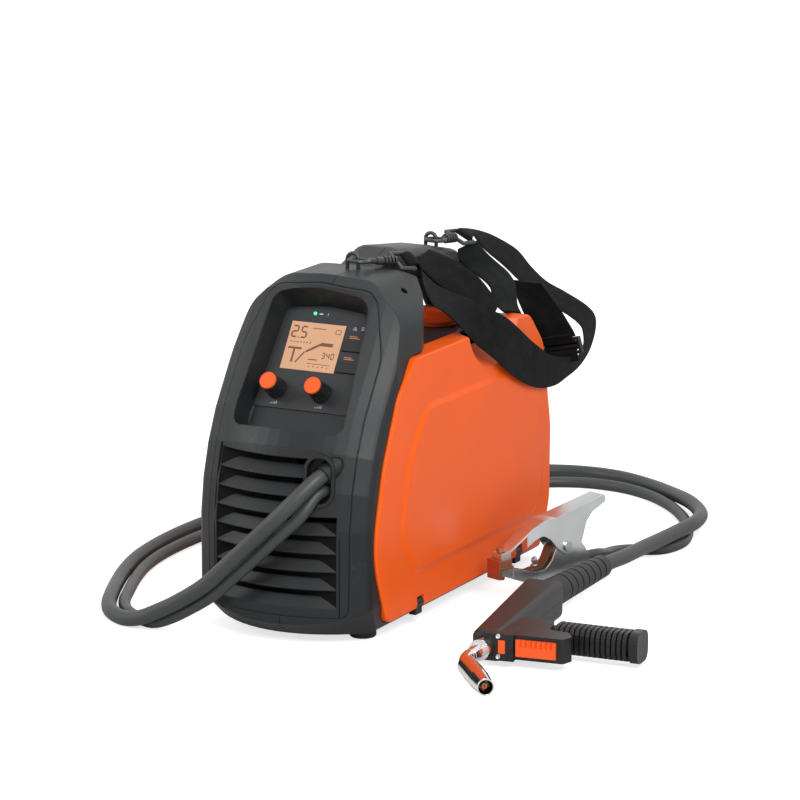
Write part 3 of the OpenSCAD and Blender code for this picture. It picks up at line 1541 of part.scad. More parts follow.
// A flat band whose stations are the two ends of its width
module ribbon(stations, thick) {
    n = len(stations);
    middle = [for (e = stations) (e[0] + e[1]) / 2];
    points = [for (i = [0:n - 1])
        let (
            e = stations[i],
            along = middle[min(i + 1, n - 1)] - middle[max(i - 1, 0)],
            t = unit(cross(along, e[1] - e[0])) * thick / 2
        )
        each [e[0] - t, e[1] - t, e[1] + t, e[0] + t]];
    skin = [for (i = [0:n - 2]) for (k = [0:3])
        let (a = i * 4 + k, b = i * 4 + (k + 1) % 4)
        each (k == 2 ? [[a, a + 4, b], [a + 4, b + 4, b]] : [[a, b + 4, b], [a, a + 4, b + 4]])];
    ends = [[0, 1, 2, 3], [for (k = [3:-1:0]) (n - 1) * 4 + k]];
    polyhedron(points = points, faces = concat(skin, ends), convexity = 8);
}

outer_band = [
    [[36, 4, 311], [46, -12, 308]], [[40, 14, 299], [54, -12, 294]], [[46, 26, 289], [62, -10, 278]],
    [[54, 34, 282], [68, 0, 270]], [[64, 42, 277], [76, 8, 260]], [[76, 50, 271], [82, 16, 249]],
    [[88, 58, 263], [88, 30, 235]], [[96, 72, 254], [94, 50, 220]], [[100, 90, 241], [96, 74, 204]],
    [[102, 110, 227], [96, 100, 190]], [[104, 130, 215], [95, 130, 178]], [[104, 148, 206], [93, 160, 171]],
    [[103, 172, 199], [91, 190, 168]], [[101, 198, 194], [87, 222, 169]], [[98, 222, 190], [83, 254, 171]],
    [[92, 244, 191], [80, 278, 176]], [[86, 262, 194], [77, 298, 184]], [[80, 274, 200], [73, 316, 196]],
    [[74, 280, 207], [70, 321, 209]], [[66, 270, 218], [64, 312, 221]], [[58, 246, 232], [53, 288, 237]],
    [[51, 224, 246], [44, 264, 251]], [[43, 206, 262], [36, 246, 268]], [[33, 194, 277], [28, 233, 285]],
    [[21, 176, 295], [15, 216, 300]]
];
inner_band = [
    [[25, 55, 314], [31, 15, 311]], [[31, 65, 309], [36, 27, 298]], [[40, 76, 302], [43, 39, 286]],
    [[50, 83, 294], [52, 48, 275]], [[60, 88, 285], [62, 53, 265]], [[71, 89, 273], [73, 54, 254]],
    [[80, 89, 262], [84, 54, 243]]
];
middle_band = [
    [[72, 194, 263], [34, 206, 261]], [[80, 200, 250], [42, 202, 249]], [[88, 205, 237], [50, 198, 237]],
    [[94, 207, 227], [56, 200, 224]], [[99, 208, 219], [61, 205, 213]], [[103, 207, 213], [65, 208, 204]]
];
pad_band = [
    [[29, 145, 308], [23, 118, 304]], [[36, 150, 297], [29, 110, 296]], [[41, 164, 285], [35, 115, 287]],
    [[47, 174, 275], [45, 120, 279]], [[54, 175, 265], [54, 122, 271]], [[60, 166, 256], [60, 117, 263]],
    [[62, 158, 246], [64, 114, 252]]
];
pad_t = 4;

module strap_webbing() {
    color([0.11, 0.11, 0.12]) {
        ribbon(outer_band, strap_t);
        ribbon(inner_band, strap_t);
        ribbon(middle_band, strap_t);
    }
}

module shoulder_pad() {
    color([0.16, 0.18, 0.18]) ribbon(pad_band, pad_t);
}

// Ladder slider at the strap's lower bend
module strap_slider() {
    color(soft_black) translate([86, 208.5, 200]) rotate([7, -13, -2]) difference() {
        cube([46, 5, 16], center = true);
        for (side = [-1, 1]) translate([0, 0, side * 3.6]) cube([41, 10, 4], center = true);
    }
}

// Orange latch of the door, set in the deck under the handle
latch_at = [28, 64];
latch_shaft_r = 5;
module door_latch() {
    lever = [[-22, -8, 6], [24, -8, 4], [24, 8, 4], [-22, 8, 6]];
    color(orange) translate([latch_at[0], latch_at[1], 0]) {
        translate([0, 0, deck_z + 0.4]) cylinder(h = 4.2, r = 20, $fn = 96);
        flat_slab(lever, deck_z + 4.5, deck_z + 13);
        translate([0, 0, deck_z - 14]) cylinder(h = 15, r = latch_shaft_r, $fn = 48);
    }
}

// ---------- Nodes ----------

left_frame();
right_frame();
front_bezel();
control_panel();
display_window();
power_light();
left_knob();
left_knob_cap();
right_knob();
right_knob_cap();
upper_button();
lower_button();
control_board();
right_panel();
left_door();
hinge_pins();
feet();
chassis();
rear_panel();
fan_housing();
fan_rotor();
heat_sink();
transformer();
power_switch();
mains_gland();
gas_nipple();
wire_spool();
wire_winding();
spool_hub();
feeder_body();
feed_motor();
drive_roll();
pressure_arm();
pressure_roll();
tension_knob();
wire_conduit();
cable_gland();
case_screws();
gun_cable();
gun_boot();
gun_upper_shell();
gun_lower_shell();
gun_grip();
gun_trigger();
gun_neck();
gun_nozzle();
contact_tip();
earth_cable();
clamp_upper_arm();
clamp_lower_arm();
clamp_pivot();
door_latch();
strap_eyes();
strap_hooks();
strap_webbing();
shoulder_pad();
strap_slider();
clamp_upper_jaw();
clamp_lower_jaw();
clamp_spring();
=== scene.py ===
# %% [markdown]
# # A portable MIG welding machine
#
# This lesson dresses a finished CAD model of a small MIG welding machine. The machine feeds a
# thin steel wire from a spool, through a long cable, to a hand-held gun. A second cable ends
# in a spring clamp that closes the circuit on the workpiece. A webbing strap carries it all.
#
# The rigid parts come ready made from the CAD model, and keep their shapes. Here they get
# their finishes. Soft things, such as the strap and the two cables, are made new.

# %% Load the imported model
import json
import math
import bpy
from mathutils import Matrix, Vector


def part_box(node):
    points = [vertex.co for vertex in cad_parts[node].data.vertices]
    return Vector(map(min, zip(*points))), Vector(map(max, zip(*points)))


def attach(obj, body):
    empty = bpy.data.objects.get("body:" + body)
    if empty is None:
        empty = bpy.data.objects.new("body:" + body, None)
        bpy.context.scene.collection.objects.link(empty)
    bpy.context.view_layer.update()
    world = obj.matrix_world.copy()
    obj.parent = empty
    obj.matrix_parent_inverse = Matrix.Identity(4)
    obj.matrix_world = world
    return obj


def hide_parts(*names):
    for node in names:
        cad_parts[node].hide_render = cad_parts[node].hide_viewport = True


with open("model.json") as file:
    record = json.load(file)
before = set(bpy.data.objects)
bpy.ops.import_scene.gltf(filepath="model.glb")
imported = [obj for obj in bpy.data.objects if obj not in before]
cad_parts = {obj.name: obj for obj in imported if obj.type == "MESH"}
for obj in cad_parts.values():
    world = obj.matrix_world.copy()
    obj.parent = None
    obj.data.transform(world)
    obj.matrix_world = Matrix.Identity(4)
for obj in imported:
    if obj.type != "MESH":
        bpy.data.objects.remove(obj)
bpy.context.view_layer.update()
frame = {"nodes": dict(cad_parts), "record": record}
nodes = frame["nodes"]

# %% [markdown]
# ## The camera
#
# A long lens far away keeps the edges of a boxy product nearly parallel, as catalogue
# pictures do. The camera stands in front and to the right, so that the orange side shows,
# and looks slightly down. It is placed by numbers, because its angles were worked out
# beforehand.

# %% Camera
degrees_down, degrees_aside = 12.6, 27.6
camera_data = bpy.data.cameras.new("camera")
camera_data.lens = 180
camera_data.sensor_width = 36
camera_data.clip_end = 100
camera = bpy.data.objects.new("camera", camera_data)
camera.location = (1.67107, -3.15064, 0.97838)
camera.rotation_euler = (math.radians(90 - degrees_down), 0, math.radians(degrees_aside))
bpy.context.scene.collection.objects.link(camera)
bpy.context.scene.camera = camera
print("camera", tuple(round(v, 3) for v in camera.location))

# %% [markdown]
# ## Helpers for smooth paths
#
# Cables and webbing bend smoothly, but their routes are given as a few points. A Catmull-Rom
# curve passes through each point and turns gently between them. That makes it easier to steer
# than a Bezier curve, whose handles have to be set one by one.


# %% Smooth points
def metres(points):
    """Places given in millimetres, as vectors in metres."""
    return [Vector(p) / 1000 for p in points]


def through(points, steps):
    """Points on a smooth curve that passes through the given ones."""
    out = []
    for i in range(len(points) - 1):
        a = points[max(i - 1, 0)]
        b, c = points[i], points[i + 1]
        d = points[min(i + 2, len(points) - 1)]
        for k in range(steps):
            t = k / steps
            out.append(0.5 * (2 * b + (c - a) * t + (2 * a - 5 * b + 4 * c - d) * t * t
                              + (3 * b - a - 3 * c + d) * t ** 3))
    return out + [points[-1]]


def path_length(points):
    """The length of a path, from point to point."""
    return sum((b - a).length for a, b in zip(points, points[1:]))


# %% [markdown]
# ## The two cables
#
# The gun's cable is a thick rubber hose: gas, current, wire and switch leads all run in it.
# The earth cable is thinner. Both leave the front, drop to the floor, and go round behind
# the case to their tools at the right.
#
# A curve with a round bevel is the natural way to make a cable, because its route stays
# easy to change. It becomes a mesh at the end, so that it is measured like every other
# piece. The routes lie where the CAD solids of the cables lie.

# %% Routes of the cables
gun_route = [
    (47, -184, 157), (42.3, -195.3, 151.4), (31, -209, 137), (15, -217, 119), (-8, -217, 97),
    (-33, -217, 73), (-57, -217, 51), (-84, -216, 33), (-108, -214, 20), (-128, -212, 11),
    (-148, -206, 7), (-168, -193, 7), (-184, -172, 7), (-198, -145, 7), (-214, -110, 7),
    (-231, -68, 7), (-245, -24, 7), (-253, 20, 7), (-257, 65, 7), (-257, 110, 7), (-252, 160, 7),
    (-242, 210, 7), (-226, 260, 7), (-203, 310, 7), (-173, 358, 7), (-138, 402, 7),
    (-100, 440, 7), (-60, 470, 7), (-18, 485, 7), (26, 480, 8), (68, 460, 9), (106, 431, 11),
    (138, 399, 14), (163, 366, 16), (180, 334, 18), (187, 301, 19), (186, 268, 19),
    (184, 228, 19), (183, 190, 20), (183, 150, 21), (181.4, 124, 22), (180, 104, 22)]
earth_route = [
    (46.5, -181, 141), (41.4, -191.3, 137.6), (33, -204, 121), (14, -209, 102), (-8, -209, 81),
    (-31, -209, 60), (-54, -209, 40), (-77, -208, 25), (-99, -206, 13), (-120, -202, 5.6),
    (-142, -193, 5.6), (-162, -177, 5.6), (-179, -153, 5.6), (-192, -125, 5.6), (-210, -83, 5.6),
    (-225, -40, 5.6), (-234, 4, 5.6), (-237, 48, 5.6), (-236, 92, 5.6), (-230, 136, 5.6),
    (-219, 181, 5.6), (-203, 225, 5.6), (-181, 270, 5.6), (-153, 313, 5.6), (-121, 354, 5.6),
    (-85, 393, 5.6), (-46, 427, 5.6), (-4, 449, 5.6), (40, 450, 5.6), (79, 434, 5.6),
    (113, 407, 5.6), (140, 376, 5.6), (161, 344, 5.6), (177, 310, 5.6), (186, 276, 5.6),
    (180, 246, 5.6), (163, 232, 6), (150, 212, 8), (150, 186, 12), (157, 163, 17),
    (162, 132.8, 24.5), (155.6, 114.9, 25)]


def cable(name, route, diameter):
    """A round cable along a route given in millimetres."""
    points = through(metres(route), 4)
    data = bpy.data.curves.new(name, "CURVE")
    data.dimensions = "3D"
    data.bevel_depth = diameter / 2
    data.bevel_resolution = 8
    data.use_fill_caps = True
    spline = data.splines.new("POLY")
    spline.points.add(len(points) - 1)
    for point, place in zip(spline.points, points):
        point.co = (*place, 1)
    made = bpy.data.objects.new(name, data)
    bpy.context.scene.collection.objects.link(made)
    bpy.ops.object.select_all(action="DESELECT")
    made.select_set(True)
    bpy.context.view_layer.objects.active = made
    bpy.ops.object.convert(target="MESH")
    made = bpy.context.active_object
    bpy.ops.object.shade_smooth_by_angle(angle=math.radians(50))
    print(name, "length", round(path_length(points), 3), "m")
    return made, points, path_length(points)


gun_lead, gun_path, gun_length = cable("gun_lead", gun_route, diameter=0.014)
earth_lead, earth_path, earth_length = cable("earth_lead", earth_route, diameter=0.011)
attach(gun_lead, "case")
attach(earth_lead, "case")
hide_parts("gun_cable")
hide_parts("earth_cable")

# %% [markdown]
# ## Shared effects for the finishes
#
# Three effects return in many materials: the fine grain of moulded plastic, faint handling
# marks, and the ribs of a weave, with painted shade between them. Each is a node group, built
# once. A group gives out only masks and heights, so the shader itself stays in each material,
# where it is easy to tune.


# %% Node helpers
def new_group(name, inputs, outputs):
    """An empty node group with named sockets, and its input and output nodes."""
    tree = bpy.data.node_groups.new(name, "ShaderNodeTree")
    for label, kind, value in inputs:
        socket = tree.interface.new_socket(name=label, in_out="INPUT", socket_type=kind)
        if value is not None:
            socket.default_value = value
    for label, kind in outputs:
        tree.interface.new_socket(name=label, in_out="OUTPUT", socket_type=kind)
    return tree, tree.nodes.new("NodeGroupInput"), tree.nodes.new("NodeGroupOutput")


def add(tree, kind, **values):
    """A node with its plain values set."""
    node = tree.nodes.new(kind)
    for key, value in values.items():
        if hasattr(node, key):
            setattr(node, key, value)
        else:
            node.inputs[key].default_value = value
    return node


def math_node(tree, operation, a, b):
    """The result of a Math node on two values, each a number or a socket."""
    node = tree.nodes.new("ShaderNodeMath")
    node.operation = operation
    for socket, value in zip(node.inputs, (a, b)):
        if isinstance(value, (int, float)):
            socket.default_value = value
        else:
            tree.links.new(value, socket)
    return node.outputs[0]


def noise(tree, vector, scale, detail=3.0, roughness=0.5):
    """Soft random patches, which a higher scale makes smaller."""
    node = tree.nodes.new("ShaderNodeTexNoise")
    tree.links.new(vector, node.inputs["Vector"])
    if isinstance(scale, (int, float)):
        node.inputs["Scale"].default_value = scale
    else:
        tree.links.new(scale, node.inputs["Scale"])
    node.inputs["Detail"].default_value = detail
    node.inputs["Roughness"].default_value = roughness
    return node.outputs["Fac"]


def ramp(tree, value, low, high):
    """0 below low, 1 above high, smooth between."""
    node = tree.nodes.new("ShaderNodeMapRange")
    node.interpolation_type = "SMOOTHSTEP"
    tree.links.new(value, node.inputs["Value"])
    node.inputs["From Min"].default_value = low
    node.inputs["From Max"].default_value = high
    return node.outputs["Result"]


# %% Grain of a moulded or painted surface
grain, grain_in, grain_out = new_group(
    "surface_grain",
    [("Vector", "NodeSocketVector", None), ("Scale", "NodeSocketFloat", 900.0)],
    [("Height", "NodeSocketFloat"), ("Tone", "NodeSocketFloat")])
fine = noise(grain, grain_in.outputs["Vector"], grain_in.outputs["Scale"], 2.0, 0.6)
broad = noise(grain, grain_in.outputs["Vector"], 14.0, 3.0)
grain.links.new(fine, grain_out.inputs["Height"])
grain.links.new(ramp(grain, broad, 0.3, 0.7), grain_out.inputs["Tone"])
print("group", grain.name)

# %% Handling marks
marks, marks_in, marks_out = new_group(
    "handling_marks",
    [("Vector", "NodeSocketVector", None), ("Amount", "NodeSocketFloat", 0.3)],
    [("Mask", "NodeSocketFloat")])
patches = ramp(marks, noise(marks, marks_in.outputs["Vector"], 22.0, 4.0), 0.52, 0.75)
specks = ramp(marks, noise(marks, marks_in.outputs["Vector"], 420.0, 2.0), 0.5, 0.72)
both = math_node(marks, "MULTIPLY", patches, specks)
marks.links.new(math_node(marks, "MULTIPLY", both, marks_in.outputs["Amount"]),
                marks_out.inputs["Mask"])
print("group", marks.name)

# %% Ribs of a weave, with painted shade between them, which reads a piece's own UV map in centimetres
weave, weave_in, weave_out = new_group(
    "webbing_weave",
    [("UV", "NodeSocketVector", None), ("Ribs", "NodeSocketFloat", 7.0),
     ("Yarns", "NodeSocketFloat", 9.0)],
    [("Height", "NodeSocketFloat"), ("Painted Rib Shade", "NodeSocketFloat")])
parts = weave.nodes.new("ShaderNodeSeparateXYZ")
weave.links.new(weave_in.outputs["UV"], parts.inputs[0])
across = math_node(weave, "MULTIPLY", parts.outputs["X"], weave_in.outputs["Yarns"])
along = math_node(weave, "MULTIPLY", parts.outputs["Y"], weave_in.outputs["Ribs"])
turn = math_node(weave, "MULTIPLY", math_node(weave, "ADD", across, along), math.pi)
back_turn = math_node(weave, "MULTIPLY", math_node(weave, "SUBTRACT", across, along), math.pi)
rib_a = math_node(weave, "ABSOLUTE", math_node(weave, "SINE", turn, 0.0), 0.0)
rib_b = math_node(weave, "ABSOLUTE", math_node(weave, "SINE", back_turn, 0.0), 0.0)
height = math_node(weave, "MULTIPLY", rib_a, rib_b)
fibre = noise(weave, weave_in.outputs["UV"], 60.0, 3.0)
weave.links.new(math_node(weave, "ADD", height, math_node(weave, "MULTIPLY", fibre, 0.3)),
                weave_out.inputs["Height"])
# The rib pattern also goes out as a mask of painted shade, darker between the ribs.
weave.links.new(height, weave_out.inputs["Painted Rib Shade"])
print("group", weave.name)

# %% [markdown]
# ## Finishes
#
# One function builds the material of a hard surface: a base colour that drifts a little, a
# bump from the grain, a few pale handling marks, and a rounded look at each edge from the
# Bevel node. Real moulded edges are never quite sharp, and the thin highlight along them is
# what tells plastic from a drawing. Values that don't change stay on the shader's sockets.


# %% A finish for hard surfaces
def mix(tree, factor, a, b):
    """Two colours mixed, each a tuple or a socket."""
    node = tree.nodes.new("ShaderNodeMix")
    node.data_type = "RGBA"
    if isinstance(factor, (int, float)):
        node.inputs["Factor"].default_value = factor
    else:
        tree.links.new(factor, node.inputs["Factor"])
    for socket, value in ((node.inputs["A"], a), (node.inputs["B"], b)):
        if isinstance(value, tuple):
            socket.default_value = (*value, 1)
        else:
            tree.links.new(value, socket)
    return node.outputs["Result"]


def hard_finish(name, colour, rough, metal=0.0, grain_scale=900.0, bump=0.15, drift=0.08,
                wear=0.25, coat=0.0, edge=0.0005, specular=0.5):
    """Plastic, paint or metal, with grain, drift, marks and soft edges."""
    smoother, rougher, grain_height = 0.04, 0.06, 0.0004
    material = bpy.data.materials.new(name)
    material.use_nodes = True
    tree = material.node_tree
    shader = tree.nodes["Principled BSDF"]
    place = tree.nodes.new("ShaderNodeTexCoord").outputs["Object"]
    grains = add(tree, "ShaderNodeGroup", node_tree=grain)
    grains.inputs["Scale"].default_value = grain_scale
    tree.links.new(place, grains.inputs["Vector"])
    marked = add(tree, "ShaderNodeGroup", node_tree=marks)
    marked.inputs["Amount"].default_value = wear
    tree.links.new(place, marked.inputs["Vector"])
    dark = tuple(c * (1 - drift) for c in colour)
    light = tuple(min(c * (1 + drift), 1) for c in colour)
    pale = tuple(min(c * 1.5 + 0.05, 1) for c in colour)
    base = mix(tree, marked.outputs["Mask"], mix(tree, grains.outputs["Tone"], dark, light), pale)
    tree.links.new(base, shader.inputs["Base Color"])
    spread = tree.nodes.new("ShaderNodeMapRange")
    tree.links.new(grains.outputs["Tone"], spread.inputs["Value"])
    spread.inputs["To Min"].default_value = max(rough - smoother, 0.02)
    spread.inputs["To Max"].default_value = rough + rougher
    tree.links.new(spread.outputs["Result"], shader.inputs["Roughness"])
    shader.inputs["Metallic"].default_value = metal
    shader.inputs["Coat Weight"].default_value = coat
    shader.inputs["Specular IOR Level"].default_value = specular
    soft_edge = add(tree, "ShaderNodeBevel", samples=4)
    soft_edge.inputs["Radius"].default_value = edge
    dimple = tree.nodes.new("ShaderNodeBump")
    dimple.inputs["Strength"].default_value = bump
    dimple.inputs["Distance"].default_value = grain_height
    tree.links.new(grains.outputs["Height"], dimple.inputs["Height"])
    tree.links.new(soft_edge.outputs["Normal"], dimple.inputs["Normal"])
    tree.links.new(dimple.outputs["Normal"], shader.inputs["Normal"])
    return material


finishes = {
    "black_case": hard_finish("black_case", (0.0125, 0.0140, 0.0150), 0.38, grain_scale=1100,
                              bump=0.35, edge=0.0018, specular=0.30),
    "orange_panel": hard_finish("orange_panel", (0.95, 0.118, 0.004), 0.34, grain_scale=500,
                                bump=0.06, drift=0.03, wear=0.04, edge=0.0012, specular=0.25),
    "panel_grey": hard_finish("panel_grey", (0.026, 0.027, 0.029), 0.34, bump=0.12,
                              specular=0.30),
    "black_plastic": hard_finish("black_plastic", (0.013, 0.0135, 0.0135), 0.36, bump=0.3,
                                 specular=0.32),
    "orange_plastic": hard_finish("orange_plastic", (0.93, 0.110, 0.016), 0.34, bump=0.1,
                                  wear=0.05, specular=0.3),
    "board": hard_finish("board", (0.02, 0.13, 0.05), 0.4),
    "zinc": hard_finish("zinc", (0.66, 0.70, 0.70), 0.30, metal=1.0, grain_scale=160, bump=0.08,
                        drift=0.10, edge=0.0006),
    "steel": hard_finish("steel", (0.52, 0.52, 0.53), 0.28, metal=1.0, bump=0.1),
    "dark_steel": hard_finish("dark_steel", (0.035, 0.036, 0.038), 0.32, grain_scale=700,
                              bump=0.2),
    "alloy": hard_finish("alloy", (0.70, 0.71, 0.72), 0.42, metal=1.0, grain_scale=300,
                         bump=0.2),
    "copper": hard_finish("copper", (0.42, 0.175, 0.095), 0.42, metal=1.0, grain_scale=300,
                          bump=0.2, drift=0.25),
    "brass": hard_finish("brass", (0.75, 0.55, 0.22), 0.3, metal=1.0),
    "varnish": hard_finish("varnish", (0.20, 0.075, 0.03), 0.35, coat=0.5),
    "wire": hard_finish("wire", (0.72, 0.36, 0.20), 0.3, metal=1.0, grain_scale=700, bump=0.5),
    "blue_sheath": hard_finish("blue_sheath", (0.03, 0.06, 0.32), 0.4),
    "rubber": hard_finish("rubber", (0.020, 0.020, 0.019), 0.5, grain_scale=700, bump=0.4,
                          specular=0.4),
    "cable_rubber": hard_finish("cable_rubber", (0.044, 0.047, 0.046), 0.42, grain_scale=500,
                                bump=0.15, wear=0.35, specular=0.4),
    "chrome": hard_finish("chrome", (0.80, 0.78, 0.77), 0.10, metal=1.0, bump=0.02, drift=0.04,
                          wear=0.0),
}
print("finishes", len(finishes))

# %% [markdown]
# ## The lit display and the small lamp
#
# The display is a back-lit film behind a clear window. A little emission makes it glow, and
# a coat gives it the gloss of the window. The glow drifts a little from place to place,
# because such a film is never lit quite evenly.


# %% Lit finishes
def lit_finish(name, colour, glow, strength):
    """A lit film or lens under a clear coat."""
    material = hard_finish(name, colour, 0.25, bump=0.02, coat=0.6, wear=0.0)
    tree = material.node_tree
    shader = tree.nodes["Principled BSDF"]
    place = tree.nodes.new("ShaderNodeTexCoord").outputs["Object"]
    drift = ramp(tree, noise(tree, place, 30.0, 1.0), 0.3, 0.7)
    dimmed = tuple(c * 0.85 for c in glow)
    tree.links.new(mix(tree, drift, dimmed, glow), shader.inputs["Emission Color"])
    shader.inputs["Emission Strength"].default_value = strength
    return material


finishes["display"] = lit_finish("display", (0.40, 0.21, 0.11), (0.95, 0.50, 0.27), 0.32)
finishes["green_light"] = lit_finish("green_light", (0.05, 0.5, 0.2), (0.1, 1.0, 0.45), 1.2)
print("finishes", len(finishes))

# %% [markdown]
# ## Finishes on the CAD parts
#
# The record that comes with the model says which finish each part has, so one loop dresses
# them all. The cable and strap solids are skipped, because new pieces stand for them.

# %% Dress the CAD parts
soft_nodes = {"gun_cable", "earth_cable", "strap_webbing", "shoulder_pad"}
for part in frame["record"]["subparts"]:
    if part["node"] in soft_nodes:
        continue
    mesh = nodes[part["node"]].data
    mesh.materials.clear()
    mesh.materials.append(finishes[part["material_slot"]])
for lead in (gun_lead, earth_lead):
    lead.data.materials.append(finishes["cable_rubber"])

# %% [markdown]
# ## A sheet of painted shade behind the louvres
#
# Behind the louvres lies a near-black sheet that stands for the shade inside the case, so
# the slots show dark. It leans back towards its top, as the front does, and is cut away at
# one corner, where the cables pass. A grid is a good start for it: its points are laid on
# the lean, the faces in the corner are deleted, and the rest gets its thickness from Solidify.

# %% Sheet of painted shade behind the louvres
shade_sheet_wide, shade_sheet_tall, shade_sheet_thick = 0.126, 0.142, 0.003
shade_sheet_middle_height, shade_sheet_front = 0.101, -0.1885
lean_starts_at, lean = 0.09, 2.1
corner_across, corner_height = 0.014, 0.112
bpy.ops.object.select_all(action="DESELECT")
bpy.ops.mesh.primitive_grid_add(x_subdivisions=32, y_subdivisions=34, size=1, location=(0, 0, 0))
painted_shade_sheet = bpy.context.active_object
painted_shade_sheet.name = "painted_shade_sheet"
for vertex in painted_shade_sheet.data.vertices:
    across, up = vertex.co.x, vertex.co.y
    tall = shade_sheet_middle_height + up * shade_sheet_tall
    rise = max(tall - lean_starts_at, 0)
    vertex.co = (across * shade_sheet_wide, shade_sheet_front + rise * rise * lean, tall)
bpy.ops.object.mode_set(mode="EDIT")
bpy.ops.mesh.select_all(action="DESELECT")
bpy.ops.object.mode_set(mode="OBJECT")
for face in painted_shade_sheet.data.polygons:
    face.select = face.center.x > corner_across and face.center.z > corner_height
bpy.ops.object.mode_set(mode="EDIT")
bpy.ops.mesh.delete(type="FACE")
bpy.ops.object.mode_set(mode="OBJECT")
wall = painted_shade_sheet.modifiers.new("wall", "SOLIDIFY")
wall.thickness = shade_sheet_thick
bpy.ops.object.modifier_apply(modifier="wall")
# Its near-black, matt finish is painted shade: the sheet stands for the dark inside of the case.
finishes["painted_shade_black"] = hard_finish("painted_shade_black", (0.006, 0.006, 0.006), 0.9, grain_scale=350, bump=0.9,
                               wear=0.0, specular=0.1)
painted_shade_sheet.data.materials.append(finishes["painted_shade_black"])
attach(painted_shade_sheet, "case")
print("painted shade sheet faces", len(painted_shade_sheet.data.polygons))

# %% [markdown]
# ## The carrying strap
#
# The strap is one long piece of black nylon webbing, about 38 mm wide. It hangs from two
# swivel hooks on the handle, is gathered where it goes round their bars, and falls over the
# side of the case in a loop. Cloth simulation would lose its clean edges, so the strap is
# built straight from stations: at each one, the two ends of its width are given, and a
# smooth surface runs through them all.
#
# Its UV map is measured in centimetres across and along, so the weave keeps its scale.


# %% Build a band of webbing
def band(name, stations, thick, columns=10, steps=6, crown=0.0):
    """A closed band of webbing or padding through the given edge pairs, in millimetres."""
    thinner_edge = 0.55
    left = through(metres([s[0] for s in stations]), steps)
    right = through(metres([s[1] for s in stations]), steps)
    middle = [(a + b) / 2 for a, b in zip(left, right)]
    verts, faces, uvs = [], [], []
    ring = 2 * (columns + 1)
    gone = 0.0
    for i, (a, b) in enumerate(zip(left, right)):
        ahead = middle[min(i + 1, len(middle) - 1)] - middle[max(i - 1, 0)]
        out = ahead.cross(b - a).normalized()
        if i:
            gone += (middle[i] - middle[i - 1]).length
        for side in (-1, 1):
            for k in range(columns + 1):
                t = k / columns if side < 0 else 1 - k / columns
                edge = min(t, 1 - t) * 2
                share = thinner_edge if edge == 0 else 1.0
                half = thick / 2 * share + crown * math.sqrt(edge)
                verts.append(a.lerp(b, t) + out * side * half)
                uvs.append((t * (b - a).length * 100, gone * 100))
    for i in range(len(left) - 1):
        for k in range(ring):
            m = (k + 1) % ring
            faces.append((i * ring + k, i * ring + m, (i + 1) * ring + m, (i + 1) * ring + k))
    faces.append(tuple(reversed(range(ring))))
    faces.append(tuple(range((len(left) - 1) * ring, len(left) * ring)))
    mesh = bpy.data.meshes.new(name)
    mesh.from_pydata(verts, [], faces)
    layer = mesh.uv_layers.new(name="UVMap")
    for loop in mesh.loops:
        layer.data[loop.index].uv = uvs[loop.vertex_index]
    made = bpy.data.objects.new(name, mesh)
    bpy.context.scene.collection.objects.link(made)
    bpy.ops.object.select_all(action="DESELECT")
    made.select_set(True)
    bpy.context.view_layer.objects.active = made
    bpy.ops.object.mode_set(mode="EDIT")
    bpy.ops.mesh.select_all(action="SELECT")
    bpy.ops.mesh.normals_make_consistent(inside=False)
    bpy.ops.object.mode_set(mode="OBJECT")
    bpy.ops.object.shade_smooth_by_angle(angle=math.radians(40))
    widths = [(b - a).length for a, b in zip(left, right)]
    mean_width = sum(widths) / len(widths)
    print(name, "length", round(gone, 3), "mean width", round(mean_width, 4))
    return made, gone, mean_width


# %% Where the webbing lies
outer_stations = [
    [(32, 3, 315), (46.5, -6.5, 307)], [(29.2, -2.3, 315.8), (43.7, -11.8, 307.8)],
    [(28.4, -6.5, 319.4), (42.9, -16, 311.4)], [(31.5, -4, 322), (46, -13.5, 314)],
    [(34, 1, 320.5), (49, -9.5, 312.5)], [(36, 7, 313), (51, -9.5, 305)],
    [(40, 14, 301), (54, -12, 294)], [(46, 26, 289), (62, -10, 278)],
    [(54, 34, 282), (68, 0, 270)], [(64, 42, 277), (76, 8, 260)], [(76, 50, 271), (82, 16, 249)],
    [(88, 58, 263), (88, 30, 235)], [(96, 72, 254), (94, 50, 220)], [(100, 90, 241), (96, 74, 204)],
    [(102, 110, 227), (96, 100, 190)], [(104, 130, 215), (95, 130, 178)],
    [(104, 148, 206), (93, 160, 171)], [(103, 172, 199), (91, 190, 168)],
    [(101, 198, 194), (87, 222, 169)], [(98, 222, 190), (83, 254, 171)],
    [(92, 244, 191), (80, 278, 176)], [(86, 262, 194), (77, 298, 184)],
    [(80, 274, 200), (73, 316, 196)], [(74, 280, 207), (70, 321, 209)],
    [(66, 270, 218), (64, 312, 221)], [(58, 246, 232), (53, 288, 237)],
    [(51, 224, 246), (44, 264, 251)], [(43, 206, 262), (36, 246, 268)],
    [(33, 194, 277), (28, 233, 285)], [(23, 177, 293), (16, 214, 299)],
    [(21, 161, 306), (10, 196, 307)], [(25, 146, 313), (11, 168, 314)],
    [(30.7, 133.6, 313), (13.6, 138.8, 319.4)], [(28.6, 130.5, 309.8), (11.5, 135.7, 316.3)]]
inner_stations = [
    [(25, 55, 314), (31, 15, 311)], [(31, 65, 309), (36, 27, 298)], [(40, 76, 302), (43, 39, 286)],
    [(50, 83, 294), (52, 48, 275)], [(60, 88, 285), (62, 53, 265)], [(71, 89, 273), (73, 54, 254)],
    [(80, 89, 262), (84, 54, 243)]]
